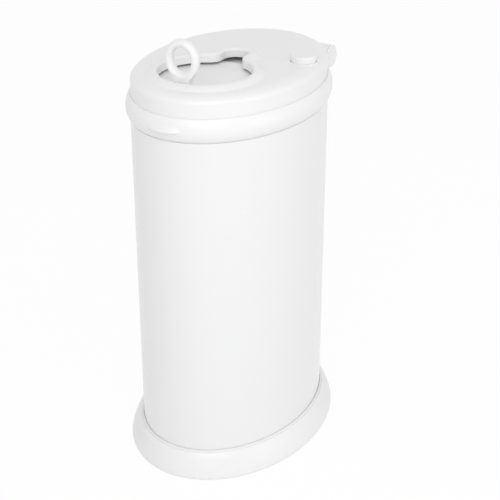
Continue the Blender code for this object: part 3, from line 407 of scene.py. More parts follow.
def turned(profile, place, stations, axis="z", wrap_rows=True):
    """A closed skin over turned_grid."""
    return shell(turned_grid(profile, place, stations, axis), wrap_rows)


def apply_modifiers(made):
    """Takes the object's modifiers into its mesh."""
    shaped = bpy.data.meshes.new_from_object(made.evaluated_get(bpy.context.evaluated_depsgraph_get()))
    made.modifiers.clear()
    made.data = shaped
    return made


def bore(made, shells):
    """Cuts closed shells out of a piece, and takes the result into its mesh."""
    cutter = mesh_object("cutter", shells)
    change = made.modifiers.new("bore", "BOOLEAN")
    change.operation = "DIFFERENCE"
    change.solver = "EXACT"
    change.object = cutter
    apply_modifiers(made)
    bpy.data.objects.remove(cutter, do_unlink=True)
    made.data.shade_smooth()
    made.data.set_sharp_from_angle(angle=SHARP)
    return made


# Base and body

def base_skirt():
    """An oval toe 3 wide and 4.5 high, then a bowed slope by the 1.55 power of cosine across and of sine up, to
    the lip beside the pan's bead; the inside runs parallel."""
    lip = PAN_OFFSET + SEAM_GAP
    reach = SKIRT_OFFSET - lip
    toe_width = 3.0
    toe_height = 4.5
    rise = SKIRT_TOP - toe_height
    turns = np.linspace(0.0, PI / 2.0, 25)[:-1]
    wide = np.cos(turns) ** SKIRT_POWER
    high = np.sin(turns) ** SKIRT_POWER
    toe = np.linspace(0.0, PI / 2.0, 9)[:-1]
    foot = np.column_stack([SKIRT_OFFSET - toe_width * (1.0 - np.sin(toe)), toe_height * (1.0 - np.cos(toe))])
    outer = np.column_stack([lip + reach * wide, toe_height + rise * high])
    inner = np.column_stack([lip + (reach - SKIRT_WALL) * wide, toe_height + (rise - SKIRT_WALL) * high])[::-1]
    corners = fixed(foot) + fixed(outer) + [(lip, SKIRT_TOP, 0.15), (lip, SKIRT_TOP - SKIRT_WALL, 0.15)]
    web_in, web_out, web_top = 3.9, 12.4, 5.5
    corners += fixed(inner[:-5]) + [(SKIRT_OFFSET - SKIRT_WALL, web_top, 0.3), (web_in, web_top, 0.3),
                                    (web_in, PAN_FOOT, 0.3), (web_out, PAN_FOOT, 0.3), (web_out, 0.0, 0.4)]
    return oval_ring(outline(corners), FINE_STATIONS)


def base_pan():
    """A stepped tray: foot ring, floor and an outer wall whose top edge shows as a thin bead."""
    middle, foot_in, foot_out, inside = -18.6, -16.0, -4.0, 0.4
    corners = [(middle, PAN_FLOOR_LOW, 0.0), (foot_in, PAN_FLOOR_LOW, 0.0), (foot_in, PAN_FOOT, 0.4),
               (foot_out, PAN_FOOT, 0.4), (foot_out, PAN_FLOOR_LOW, 0.0), (PAN_OFFSET, PAN_FLOOR_LOW, 0.6),
               (PAN_OFFSET, BEAD_TOP, 1.0), (inside, BEAD_TOP, 0.4), (inside, PAN_FLOOR_TOP, 0.0),
               (foot_in, PAN_FLOOR_TOP, 0.0)]
    return oval_ring(outline(corners, closed=False), wrap_rows=False)


def steel_tube():
    """A straight wall 1 thick from the pan's floor to the rim."""
    corners = [(0.0, TUBE_FOOT, 0.3), (0.0, TUBE_TOP, 0.3), (-TUBE_WALL, TUBE_TOP, 0.3), (-TUBE_WALL, TUBE_FOOT, 0.3)]
    return oval_ring(outline(corners), FINE_STATIONS)


def rim():
    """Flange over the tube's edge, wall inside it and a ledge for the bag ring."""
    under = TUBE_TOP + FIT_GAP
    ledge_low = LEDGE_TOP - 2.0
    foot = RIM_TOP - 20.1
    outer, inner, flange, ledge = -1.4, -3.8, -5.5, -12.6
    corners = [(0.0, under, 0.4), (0.0, RIM_TOP, 0.6), (flange, RIM_TOP, 0.6), (flange, under, 0.4),
               (inner, under - 1.5, 0.4), (inner, LEDGE_TOP, 0.4), (ledge, LEDGE_TOP, 0.6),
               (ledge, ledge_low, 0.6), (inner, ledge_low, 0.4), (inner, foot, 0.6), (outer, foot, 0.6),
               (outer, under, 0.2)]
    return oval_ring(outline(corners))


def bag_ring():
    """A loose band 5.6 wide and 8.6 high on the rim's ledge, with a well-rounded top."""
    low = LEDGE_TOP + FIT_GAP
    high = low + 8.6
    outer, inner = -6.1, -11.7
    return oval_ring(outline([(outer, low, 0.5), (outer, high, 1.9), (inner, high, 1.9), (inner, low, 0.5)], steps=6))


make("base_skirt", [base_skirt()], GLOSS_PLASTIC, "bin", ["base_shell"])
make("base_tray", [base_pan()], GLOSS_PLASTIC, "bin", ["base_pan"])
make("steel_tube", [steel_tube()], POWDER_COAT, "bin", ["steel_body"])
make("rim_ring", [rim()], SATIN_PLASTIC, "bin", ["body_rim"])
make("bag_hoop", [bag_ring()], SATIN_PLASTIC, "bin", ["bag_ring"])


# Collar, tab and ears

def collar_offset(height):
    """A straight taper plus 4.8 times the 0.75 power of a half sine over the collar's height."""
    share = np.clip((height - COLLAR_LOW) / (COLLAR_HIGH - COLLAR_LOW), 0.0, 1.0)
    return 1.4 - 1.2 * share + COLLAR_BULGE * np.sin(PI * share) ** 0.75


def soft_max(first, second, width):
    """The larger of two values, eased over a width where they cross."""
    return 0.5 * (first + second + np.sqrt((first - second) ** 2 + width ** 2))


def tab_offset(height, turns):
    """The finger tab: reaches 6.5 (1 - (s / 23)^2) past the collar, then falls straight back to the collar."""
    sideways = HALF_WIDTH * np.cos(turns)
    reach = COLLAR_BULGE + TAB_REACH * (1.0 - (sideways / TAB_HALF_WIDTH) ** 2)
    reach = np.where(np.sin(turns) < 0.0, reach, OFF_TAB)
    back = np.clip((height - TAB_LOW - 1.4) / 8.0, 0.0, 1.0)
    ease = 0.30 * np.clip((TAB_LOW + 0.5 - height) / 0.45, 0.0, 1.0) ** 2
    shape = reach + (2.8 - reach) * back - ease
    return np.where((height > TAB_LOW) & (height < TAB_LOW + TAB_HEIGHT), shape, OFF_TAB)


def collar_shell(stations=560):
    """The collar's face and tab by rows of height, then groove, riser, shelf, inner face and lower flange."""
    turns = np.linspace(0.0, 2.0 * PI, stations, endpoint=False)
    share = 0.5 - 0.5 * np.cos(np.linspace(0.0, PI, 31))
    plain = COLLAR_LOW + (COLLAR_HIGH - COLLAR_LOW) * share
    plain = plain[(plain < TAB_LOW - 0.5) | (plain > TAB_LOW + 9.9)]
    shaped = TAB_LOW + np.concatenate([[-0.4, -0.05, 0.05, 0.2, 0.45, 0.8, 1.15, 1.4, 1.65, 2.1],
                                       np.arange(9) * 0.8 + 2.8, [9.8]])
    height = np.sort(np.concatenate([plain, shaped]))[:, None]
    bare = np.broadcast_to(collar_offset(height), (len(height), stations))
    tab = tab_offset(height, turns)
    outer = np.where(tab > OFF_TAB + 10.0, soft_max(bare, tab, 0.12), bare)
    floor_low = GROOVE_FLOOR - 2.5
    flange_low = COLLAR_LOW + 2.2
    flange_top = COLLAR_LOW + 4.2
    shelf_low = SHELF_TOP - 2.4
    inner_height = np.linspace(floor_low, flange_top, 10)
    inner = np.column_stack([collar_offset(inner_height) - 2.5, inner_height])
    groove, riser, shelf, riser_inner, flange, foot = -1.28, -4.2, -22.0, -6.7, -7.5, -1.1
    rest = [(groove, COLLAR_HIGH, 0.1), (groove, GROOVE_FLOOR, 0.1), (riser, GROOVE_FLOOR, 0.2),
            (riser, SHELF_TOP, 0.5), (shelf, SHELF_TOP, 0.6), (shelf, shelf_low, 0.6),
            (riser_inner, shelf_low, 0.4), (riser_inner, floor_low, 0.3)] + fixed(inner)
    rest += [(flange, flange_top, 0.4), (flange, flange_low, 0.4), (foot, flange_low, 0.2), (foot, COLLAR_LOW, 0.2)]
    rest = outline(rest, closed=False)
    offsets = np.concatenate([outer, np.broadcast_to(rest[:, :1], (len(rest), stations))])
    heights = np.concatenate([height, rest[:, 1:]])
    return shell(around(offsets, heights, turns))


def ear_shell(side):
    """An upright plate round the hinge axis: a round end of 15, level top and underside run forward, and a
    front edge that follows the collar's wall. The two side faces ease in by 0.9 at their edges."""
    ease = np.linspace(0.0, PI / 2.0, 6)
    inset = 0.9 * (1.0 - np.sin(ease))
    inward = 0.9 * (1.0 - np.cos(ease))
    level = [EAR_INNER + 1.6, 40.0, EAR_OUTER - 1.6]
    across = np.concatenate([EAR_INNER + inward, level, EAR_OUTER - inward[::-1]])
    shrink = np.concatenate([inset, [0.0, 0.0, 0.0], inset[::-1]])[:, None]
    radius = EAR_RADIUS - shrink
    turn = np.linspace(PI / 2.0, -PI / 2.0, 33)
    round_y = HINGE_Y + radius * np.cos(turn)
    round_z = HINGE_Z + radius * np.sin(turn)
    height = np.linspace(0.0, 1.0, 30) * 2.0 * radius + (HINGE_Z - radius)
    offset = np.where(height < COLLAR_HIGH, collar_offset(height) - 1.25, -1.0)
    front = (HALF_DEPTH + offset) * np.sqrt(1.0 - (across[:, None] / (HALF_WIDTH + offset)) ** 2)
    run = np.linspace(0.0, 1.0, 8)[1:-1]
    under_y = HINGE_Y + (front[:, :1] - HINGE_Y) * run
    under_z = np.broadcast_to(HINGE_Z - radius, under_y.shape)
    over_y = front[:, -1:] + (HINGE_Y - front[:, -1:]) * run
    over_z = np.broadcast_to(HINGE_Z + radius, over_y.shape)
    y = np.concatenate([round_y, under_y, front, over_y], axis=1)
    z = np.concatenate([round_z, under_z, height, over_z], axis=1)
    x = np.broadcast_to(side * across[:, None], y.shape)
    return shell(np.stack([x, y, z], axis=2), wrap_rows=False)


def hinge_cap(side):
    """A thin disc with an eased edge and a shallow dish."""
    low = EAR_OUTER + FIT_GAP
    high = low + CAP_THICK
    dish = high - 0.3
    corners = [(0.2, low, 0.0), (EAR_RADIUS, low, 0.3), (EAR_RADIUS, high, 0.7), (11.5, high, 0.8),
               (10.8, dish, 0.8), (0.2, dish, 0.0)]
    profile = outline(corners, closed=False)
    return turned(profile * (1.0, side), (HINGE_Y, HINGE_Z), 96, "x", wrap_rows=False)


def gasket():
    """A soft band 3.4 wide inside the collar's foot, rounded most at its lower inner edge."""
    high = COLLAR_LOW + 1.9
    corners = [(-1.4, COLLAR_LOW, 0.5), (-1.4, high, 0.3), (-4.8, high, 0.3), (-4.8, COLLAR_LOW, 0.9)]
    return oval_ring(outline(corners))


make("lid_collar", [collar_shell(), ear_shell(1), ear_shell(-1)], GLOSS_PLASTIC, "lid", ["lid_frame"])
make("hinge_disc_right", [hinge_cap(1)], GLOSS_PLASTIC, "lid", ["hinge_cap_right"])
make("hinge_disc_left", [hinge_cap(-1)], GLOSS_PLASTIC, "lid", ["hinge_cap_left"])
make("lid_seal", [gasket()], RUBBER, "lid", ["lid_gasket"])


# Cover

def keyhole_frame():
    """Points and outward directions along the mouth's inner wall: rear arc, straight side, fillet and front
    arc of the right half, mirrored for the left."""
    rear = np.linspace(PI / 2.0, 0.0, 25)
    fillet = np.linspace(PI, PI + FILLET_LEAN, 19)
    front = np.linspace(FILLET_LEAN, -PI / 2.0, 131)[1:]
    level = np.linspace(SLOT_ARC_Y, FILLET[1], 6)[1:-1]
    x = np.concatenate([SLOT_HALF_WIDTH * np.cos(rear), np.full(4, SLOT_HALF_WIDTH),
                        FILLET[0] + FILLET_RADIUS * np.cos(fillet), MOUTH_RADIUS * np.cos(front)])
    y = np.concatenate([SLOT_ARC_Y + SLOT_HALF_WIDTH * np.sin(rear), level,
                        FILLET[1] + FILLET_RADIUS * np.sin(fillet), MOUTH_Y + MOUTH_RADIUS * np.sin(front)])
    out_x = np.concatenate([np.cos(rear), np.ones(4), -np.cos(fillet), np.cos(front)])
    out_y = np.concatenate([np.sin(rear), np.zeros(4), -np.sin(fillet), np.sin(front)])
    points = np.column_stack([x, y])
    out = np.column_stack([out_x, out_y])
    mirror = np.array((-1.0, 1.0))
    return (np.concatenate([points, points[-2:0:-1] * mirror]), np.concatenate([out, out[-2:0:-1] * mirror]))


KEYHOLE, KEYHOLE_OUT = keyhole_frame()


def grown_keyhole(distance):
    """The mouth's outline grown outwards, a row for each distance."""
    return KEYHOLE[None] + np.asarray(distance, float).reshape(-1, 1, 1) * KEYHOLE_OUT[None]


def dome_height(plan, inset=0.0):
    """Level inside the oval at the shoulder's start, then a quarter ellipse outwards; the inset moves it inwards
    by a wall. The offset at a point comes from Newton steps on (x / (a + o))^2 + (y / (b + o))^2 = 1."""
    x, y = plan[..., 0], plan[..., 1]
    offset = np.full(x.shape, SHOULDER_OFFSET)
    for _ in range(12):
        wide = HALF_WIDTH + offset
        deep = HALF_DEPTH + offset
        error = (x / wide) ** 2 + (y / deep) ** 2 - 1.0
        slope = -2.0 * (x ** 2 / wide ** 3 + y ** 2 / deep ** 3)
        offset = np.clip(offset - error / slope, -90.0, 0.0)
    share = np.clip((offset - SHOULDER_OFFSET) / (SHOULDER_WIDTH - inset), 0.0, 1.0)
    return SHOULDER_START + (SHOULDER_DROP - inset) * np.sqrt(1.0 - share ** 2)


def reach_to_oval(aim, offset):
    """How many times an aim from the mouth's centre goes into its way to the oval: the positive root of the
    quadratic that the oval's equation gives."""
    wide = HALF_WIDTH + offset
    deep = HALF_DEPTH + offset
    a = (aim[:, 0] / wide) ** 2 + (aim[:, 1] / deep) ** 2
    b = 2.0 * aim[:, 1] * MOUTH_Y / deep ** 2
    c = (MOUTH_Y / deep) ** 2 - 1.0
    return (-b + np.sqrt(b * b - 4.0 * a * c)) / (2.0 * a)


def rays_to_oval(offset):
    """For each station the turn at which the ray from the mouth's centre through the lip's crease meets the
    oval."""
    centre = np.array((0.0, MOUTH_Y))
    aim = grown_keyhole([LIP_WIDTH])[0] - centre
    meet = aim * reach_to_oval(aim, offset)[:, None] + centre
    return np.arctan2(meet[:, 1] / (HALF_DEPTH + offset), meet[:, 0] / (HALF_WIDTH + offset))


def with_height(plan, height):
    """Points in plan raised to their heights."""
    return np.concatenate([plan, np.broadcast_to(height, plan.shape[:2])[..., None]], axis=2)


def shoulder_rows(turns, wall, sweep):
    """The quarter ellipse of the shoulder, moved inwards by a wall, along a sweep from upright."""
    offset = SHOULDER_OFFSET + (SHOULDER_WIDTH - wall) * np.sin(sweep)
    return around(offset, SHOULDER_START + (SHOULDER_DROP - wall) * np.cos(sweep), turns)


def cover_rows():
    """Rows of the cover from the lip's inner foot over the lip, level top, shoulder and skirt, and back
    underneath. The lip's slope is 5 cos(quarter turn x share) above the top."""
    turns = rays_to_oval(SPLIT_OFFSET)
    wall = LIP_CREST - np.array([11.0, 9.0, 7.0, 5.0, 3.4, 2.8, 2.5])
    rows = [with_height(grown_keyhole(np.zeros(len(wall))), wall[:, None])]
    edge = np.linspace(0.0, PI / 2.0, 9)[1:]
    rows.append(with_height(grown_keyhole(LIP_EDGE - LIP_EDGE * np.cos(edge)),
                            (LIP_CREST - LIP_EDGE + LIP_EDGE * np.sin(edge))[:, None]))
    share = np.concatenate([np.linspace(0.0, 1.0, 15)[1:-1], [0.965, 0.985]])
    plan = grown_keyhole(LIP_EDGE + (LIP_WIDTH - LIP_EDGE) * share)
    rows.append(with_height(plan, dome_height(plan) + (LIP_HEIGHT * np.cos(PI / 2.0 * share))[:, None]))
    plan = grown_keyhole(LIP_WIDTH + np.array([0.0, 0.12, 0.35, 0.7]))
    rows.append(with_height(plan, dome_height(plan) + np.array((0.035, 0.006, 0.0, 0.0))[:, None]))
    crease = plan[-1]
    oval = around(np.array([[SPLIT_OFFSET]]), np.array([[0.0]]), turns)[0, :, :2]
    share = np.linspace(0.0, 1.0, 34)[1:, None, None]
    plan = crease[None] + (oval - crease)[None] * share
    rows.append(with_height(plan, dome_height(plan)))
    split = SPLIT_OFFSET - SHOULDER_OFFSET
    rows.append(shoulder_rows(turns, 0.0, np.linspace(math.asin(split / SHOULDER_WIDTH), PI / 2.0, 22)[1:, None]))
    foot = GROOVE_FLOOR + FIT_GAP
    inside = COVER_OFFSET - COVER_WALL
    skirt = np.array([(COVER_OFFSET, SHOULDER_START - 0.6), (COVER_OFFSET, foot + 10.5), (COVER_OFFSET, foot + 2.7),
                      (COVER_OFFSET, foot + 0.5), (COVER_OFFSET - 0.15, foot + 0.15), (COVER_OFFSET - 0.5, foot),
                      (inside + 0.3, foot), (inside, foot + 0.3), (inside, foot + 9.5), (inside, SHOULDER_START)])
    rows.append(around(skirt[:, :1], skirt[:, 1:], turns))
    under_width = SHOULDER_WIDTH - COVER_WALL
    rows.append(shoulder_rows(turns, COVER_WALL, np.linspace(PI / 2.0, math.asin(split / under_width), 8)[1:, None]))
    under = grown_keyhole([12.4])[0]
    share = np.linspace(0.0, 1.0, 6)[1:, None, None]
    plan = oval[None] + (under - oval)[None] * share
    rows.append(with_height(plan, dome_height(plan, COVER_WALL)))
    share = np.array([0.6, 0.4, 0.2, 0.0])
    plan = grown_keyhole(LIP_EDGE + (LIP_WIDTH - LIP_EDGE) * share)
    rows.append(with_height(plan, (LEVEL_TOP + LIP_HEIGHT * np.cos(PI / 2.0 * share) - 2.4)[:, None]))
    end = LIP_CREST - np.array([3.0, 10.7, 11.0, 11.0])
    rows.append(with_height(grown_keyhole([2.4, 2.4, 2.1, 0.3]), end[:, None]))
    return np.concatenate(rows)


def button_cup():
    """A cup with an eased rim and a floor with a hole for the stem."""
    rim_top = LEVEL_TOP + 0.4
    floor_top = CUP_FLOOR + 1.5
    outer, inner, hole = 18.6, 16.0, 4.4
    corners = [(outer, CUP_FLOOR, 0.3), (outer, rim_top, 0.7), (inner, rim_top, 0.5), (inner, floor_top, 0.4),
               (hole, floor_top, 0.2), (hole, CUP_FLOOR, 0.2)]
    return turned(outline(corners), BUTTON, 128)


def cover():
    """The cover's skin, bored for the button's cup, with the cup set in."""
    made = mesh_object("lid_top", [shell(cover_rows())])
    plug = np.array([(17.3, LEVEL_TOP - 21.0), (17.3, LEVEL_TOP + 9.0)])
    bore(made, [turned(plug, BUTTON, 128, wrap_rows=False)])
    cup = mesh_object("cup", [button_cup()])
    whole = bmesh.new()
    whole.from_mesh(made.data)
    whole.from_mesh(cup.data)
    whole.to_mesh(made.data)
    whole.free()
    bpy.data.objects.remove(cup, do_unlink=True)
    return dress(made, GLOSS_PLASTIC, "lid", ["lid_cover"])


cover()


# Button

def button():
    """A turned cap: a slightly dished top, an edge of 1.7, a skirt, a hollow underside and a stem."""
    dish = np.linspace(0.2, 13.0, 12)
    top = np.column_stack([dish, BUTTON_TOP - 0.25 * (1.0 - (dish / 13.0) ** 2)])
    skirt_low = LEVEL_TOP - 0.8
    under = BUTTON_TOP - 2.0
    inside, stem, peg = 13.8, 4.0, 2.2
    corners = fixed(top) + [(BUTTON_RADIUS, BUTTON_TOP, 1.9), (BUTTON_RADIUS, skirt_low, 0.4),
                            (inside, skirt_low, 0.3), (inside, under, 0.5), (stem, under, 0.3),
                            (stem, CUP_FLOOR, 0.2), (peg, CUP_FLOOR, 0.1), (peg, CUP_FLOOR - 2.0, 0.1),
                            (0.2, CUP_FLOOR - 2.0, 0.0)]
    return turned(outline(corners, closed=False, steps=7), BUTTON, 128, wrap_rows=False)


make("push_button", [button()], GLOSS_PLASTIC, "lock", ["lock_button"])


# Track, seal, door and ring

def track_shell():
    """The plate between its round hole and the oval edge, with a groove for the seal. Each station runs on
    the ray from the hole's centre."""
    turns = np.linspace(0.0, 2.0 * PI, OVAL_STATIONS, endpoint=False)
    aim = np.column_stack([np.cos(turns), np.sin(turns)])
    rim_reach = reach_to_oval(aim, -TRACK_INSET)
    hole, groove_in, groove_out, flat = 54.0, 55.2, 58.8, 60.4
    groove_low = TRACK_TOP - 2.0
    inner = outline([(hole, TRACK_LOW, 0.5), (hole, TRACK_TOP, 0.7), (groove_in, TRACK_TOP, 0.1),
                     (groove_in, groove_low, 0.0), (groove_out, groove_low, 0.0), (groove_out, TRACK_TOP, 0.1),
                     (flat, TRACK_TOP, 0.0)], closed=False)
    radius = np.concatenate([np.broadcast_to(inner[:, :1], (len(inner), OVAL_STATIONS)), [rim_reach - 0.3],
                             [rim_reach], [rim_reach], [rim_reach - 0.3]])
    height = np.concatenate([inner[:, 1], [TRACK_TOP, TRACK_TOP - 0.3, TRACK_LOW + 0.3, TRACK_LOW]])[:, None]
    x = radius * aim[:, 0]
    y = MOUTH_Y + radius * aim[:, 1]
    return shell(np.stack([x, y, np.broadcast_to(height, x.shape)], axis=2))


def rail_shell(side, start, end):
    """A guide with an inward lip, its profile carried straight back, with eased ends."""
    root = TRACK_LOW + 1.7
    lip_top = TRACK_TOP + 5.3
    lip_low = TRACK_TOP + 3.7
    inside, outside, lip = 63.1, 65.6, 60.9
    corners = [(inside, root, 0.0), (outside, root, 0.0), (outside, lip_top, 0.5), (lip, lip_top, 0.5),
               (lip, lip_low, 0.4), (inside, lip_low, 0.3)]
    profile = outline(corners)
    centre = profile.mean(axis=0)
    places = np.array([start, start + 0.4, end - 0.4, end])
    sizes = np.array([0.9, 1.0, 1.0, 0.9])
    across = centre + (profile[None] - centre) * sizes[:, None, None]
    y = np.broadcast_to(places[:, None], across.shape[:2])
    return shell(np.stack([side * across[..., 0], y, across[..., 1]], axis=2), wrap_rows=False)


def door_shell():
    """Round in front, straight sides, half ellipse behind; top and bottom edges eased inwards along the
    outline's own normals."""
    front = np.linspace(-PI, 0.0, 97)
    rear = np.linspace(0.0, PI, 65)
    side = np.linspace(MOUTH_Y, DOOR_SIDE_END, 8)[1:-1]
    straight = np.full(6, DOOR_HALF_WIDTH)
    edge = np.concatenate([
        np.column_stack([DOOR_HALF_WIDTH * np.cos(front), MOUTH_Y + DOOR_HALF_WIDTH * np.sin(front)]),
        np.column_stack([straight, side]),
        np.column_stack([DOOR_HALF_WIDTH * np.cos(rear), DOOR_SIDE_END + DOOR_REAR * np.sin(rear)]),
        np.column_stack([-straight, side[::-1]])])
    along = np.roll(edge, -1, axis=0) - np.roll(edge, 1, axis=0)
    normal = np.column_stack([along[:, 1], -along[:, 0]]) / np.linalg.norm(along, axis=1)[:, None]
    turn = np.linspace(0.0, PI / 2.0, 6)
    ease = 0.8
    inset = ease * (1.0 - np.sin(turn))
    rise = ease * (1.0 - np.cos(turn))
    insets = np.concatenate([[6.0, 1.2], inset, inset[::-1], [1.2, 6.0]])
    heights = np.concatenate([[DOOR_LOW] * 2, DOOR_LOW + rise, DOOR_TOP - rise[::-1], [DOOR_TOP] * 2])
    plan = edge[None] - insets[:, None, None] * normal[None]
    return shell(np.concatenate([plan, np.broadcast_to(heights[:, None, None], (*plan.shape[:2], 1))], axis=2),
                 wrap_rows=False)


def ring_shell():
    """A slightly upright ring about the Y axis: an oval section, 4.9 by 6.3 half, is carried round an oval
    centre line of 17.7 by 19.9."""
    turn = np.linspace(0.0, 2.0 * PI, 160, endpoint=False)[:, None]
    section = np.linspace(0.0, 2.0 * PI, 40, endpoint=False)[None]
    grown = RING_HALF_THICK * np.cos(section)
    x = (RING_HALF_WIDTH + grown) * np.cos(turn)
    y = np.broadcast_to(RING_Y + RING_HALF_DEPTH * np.sin(section), x.shape)
    return shell(np.stack([x, y, RING_Z + (RING_HALF_HEIGHT + grown) * np.sin(turn)], axis=2))


def foot_shell():
    """The foot under the ring: upright, then flared by the square of the height to meet the ring, with its
    upper edge on the ring's centre line and eased upright corners."""
    neck = DOOR_TOP + 13.0
    height = np.concatenate([np.linspace(DOOR_TOP + 0.2, neck, 5), np.linspace(neck, neck + 8.0, 12)[1:]])
    half = FOOT_HALF_WIDTH + 3.7 * ((np.maximum(height, neck) - neck) / 7.1) ** 2
    corner = np.linspace(0.0, PI / 2.0, 7)
    unit_x = np.concatenate([np.cos(corner), -np.sin(corner), -np.cos(corner), np.sin(corner)])
    unit_y = np.concatenate([np.sin(corner), np.cos(corner), -np.sin(corner), -np.cos(corner)])
    sign_x = np.repeat([1.0, -1.0, -1.0, 1.0], 7)
    sign_y = np.repeat([1.0, 1.0, -1.0, -1.0], 7)
    x = (half[:, None] - FOOT_EASE) * sign_x + FOOT_EASE * unit_x
    y = RING_Y + (FOOT_HALF_DEPTH - FOOT_EASE) * sign_y + FOOT_EASE * unit_y
    arch = RING_HALF_HEIGHT * np.sqrt(1.0 - np.minimum((x / RING_HALF_WIDTH) ** 2, 1.0))
    z = np.minimum(height[:, None], RING_Z - arch)
    return shell(np.stack([x, np.broadcast_to(y, x.shape), z], axis=2), wrap_rows=False)


def ring_pull():
    """Ring and foot run together by a fine remesh and a light smooth, which leaves a small fillet."""
    made = mesh_object("ring_pull", [ring_shell(), foot_shell()])
    change = made.modifiers.new("together", "REMESH")
    change.mode = "VOXEL"
    change.voxel_size = 0.45 * MM
    apply_modifiers(made)
    smooth = made.modifiers.new("fillet", "SMOOTH")
    smooth.factor = 0.5
    smooth.iterations = 8
    apply_modifiers(made)
    made.data.shade_smooth()
    return dress(made, GLOSS_PLASTIC, "slider", ["ring_handle"])


RAILS = [rail_shell(side, start, end) for side in (1, -1) for start, end in ((-60.0, -5.0), (45.0, 108.0))]
make("track", [track_shell()] + RAILS, SATIN_PLASTIC, "lid", ["track_plate"])
SEAL_LOW = TRACK_TOP - 1.7
SEAL = outline([(55.5, SEAL_LOW, 0.2), (58.5, SEAL_LOW, 0.2), (58.5, TRACK_TOP, 0.7), (55.5, TRACK_TOP, 0.7)])
make("mouth_seal", [turned(SEAL, (0.0, MOUTH_Y), 192)], RUBBER, "lid", ["door_seal"])
HANDLE_SCREWS = [(-5.0, RING_Y), (5.0, RING_Y)]
door = mesh_object("door", [door_shell()])
HEAD_WELL = np.array([(3.4, DOOR_LOW - 1.0), (3.4, DOOR_LOW + 2.2)])
bore(door, [turned(HEAD_WELL, place, 40, wrap_rows=False) for place in HANDLE_SCREWS])
dress(door, GLOSS_PLASTIC, "slider", ["slide_door"])
ring_pull()


# Screws, rivets and the hinge bracket

def cross_recess(x, y):
    """1 inside a cross of two slots 0.8 wide and 3.4 long, eased at its edges, else 0."""
    def slot(along, beside):
        ends = np.clip((1.7 - np.abs(along)) / 0.35, 0.0, 1.0)
        return ends * np.clip((0.62 - np.abs(beside)) / 0.30, 0.0, 1.0)
    return np.maximum(slot(x, y), slot(y, x))


def screw_shell(place, low, length):
    """A pan head that bulges 0.5 below its rim, with a cross recess 0.9 deep, and a plain shank."""
    centre, head, shank = 0.06, 3.0, 1.5
    seat = low + 1.6
    reach = np.linspace(centre, 2.7, 13)
    dome = np.column_stack([reach, low + 0.5 * (reach / head) ** 2])
    corners = fixed(dome) + [(head, low + 0.6, 0.3), (head, seat, 0.2), (shank, seat, 0.1),
                             (shank, low + length, 0.3), (centre, low + length, 0.0)]
    grid = turned_grid(outline(corners, closed=False, steps=3), (0.0, 0.0), 36)
    face = (np.hypot(grid[..., 0], grid[..., 1]) < 2.75) & (grid[..., 2] < low + 0.55)
    grid[..., 2] += np.where(face, 0.9 * cross_recess(grid[..., 0], grid[..., 1]), 0.0)
    grid[..., :2] += np.array(place)
    return shell(grid, wrap_rows=False)


def screws(prefix, node, places, low, length, body):
    """Like screws, numbered from 1, each standing for its own node."""
    for number, place in enumerate(places, 1):
        make(f"{prefix}_{number}", [screw_shell(place, low, length)], ZINC, body, [f"{node}_{number}"])


BASE_TURNS = 2.0 * PI * (np.arange(6) + 0.5) / 6.0
BASE_INSET = 10.0
BASE_PLACES = np.column_stack([(HALF_WIDTH - BASE_INSET) * np.cos(BASE_TURNS),
                               (HALF_DEPTH - BASE_INSET) * np.sin(BASE_TURNS)])
TRACK_PLACES = [(side * share_x * HALF_WIDTH, share_y * HALF_DEPTH)
                for share_x, share_y in ((0.46, -0.75), (0.83, -0.13), (0.665, 0.545)) for side in (1, -1)]
screws("foot_screw", "base_screw", BASE_PLACES, FIT_GAP, 7.2, "bin")
screws("lid_screw", "track_screw", TRACK_PLACES, SHELF_TOP - 4.3, 14.5, "lid")
screws("door_screw", "handle_screw", HANDLE_SCREWS, DOOR_LOW + FIT_GAP, 10.5, "slider")


def rivet_shell(place):
    """A domed head outside the bracket, a shank and a flat head inside the tube."""
    centre, head, shank, thick, face = 0.06, 4.0, 2.1, 1.6, 159.8
    turn = np.linspace(0.0, PI / 2.0, 9)[:-1]
    dome = np.column_stack([head * np.cos(turn), face + thick * np.sin(turn)])[::-1]
    inside = (HALF_DEPTH - TUBE_WALL) * math.sqrt(1.0 - (18.0 / (HALF_WIDTH - TUBE_WALL)) ** 2) - FIT_GAP
    corners = [(centre, face + thick, 0.0)] + fixed(dome) + [
        (shank, face, 0.0), (shank, inside, 0.0), (head, inside, 0.3), (head, inside - thick, 0.4),
        (centre, inside - thick, 0.0)]
    return turned(outline(corners, closed=False), place, 40, "y", wrap_rows=False)


RIVET_PLACES = [(side * 14.0, COLLAR_LOW - drop) for drop in (39.4, 27.4) for side in (1, -1)]
for number, place in enumerate(RIVET_PLACES, 1):
    make(f"rivet_{number}", [rivet_shell(place)], ZINC, "bin", [f"bracket_rivet_{number}"])


def eased_copy(name, node, width, material, body):
    """A merged copy of a solid, with its flat faces made whole and its edges bevelled."""
    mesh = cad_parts[node].data.copy()
    whole = bmesh.new()
    whole.from_mesh(mesh)
    bmesh.ops.remove_doubles(whole, verts=whole.verts, dist=0.01 * MM)
    bmesh.ops.dissolve_limit(whole, angle_limit=math.radians(2.0), verts=whole.verts, edges=whole.edges)
    whole.to_mesh(mesh)
    whole.free()
    made = bpy.data.objects.new(name, mesh)
    bpy.context.scene.collection.objects.link(made)
    mesh.shade_smooth()
    change = made.modifiers.new("ease", "BEVEL")
    change.width = width * MM
    change.segments = 3
    change.limit_method = "ANGLE"
    change.angle_limit = math.radians(40.0)
    change.use_clamp_overlap = True
    change.harden_normals = True
    mesh.set_sharp_from_angle(angle=math.radians(60.0))
    return dress(made, material, body, [node])


eased_copy("hinge_mount", "hinge_bracket", 0.5, GLOSS_PLASTIC, "bin")

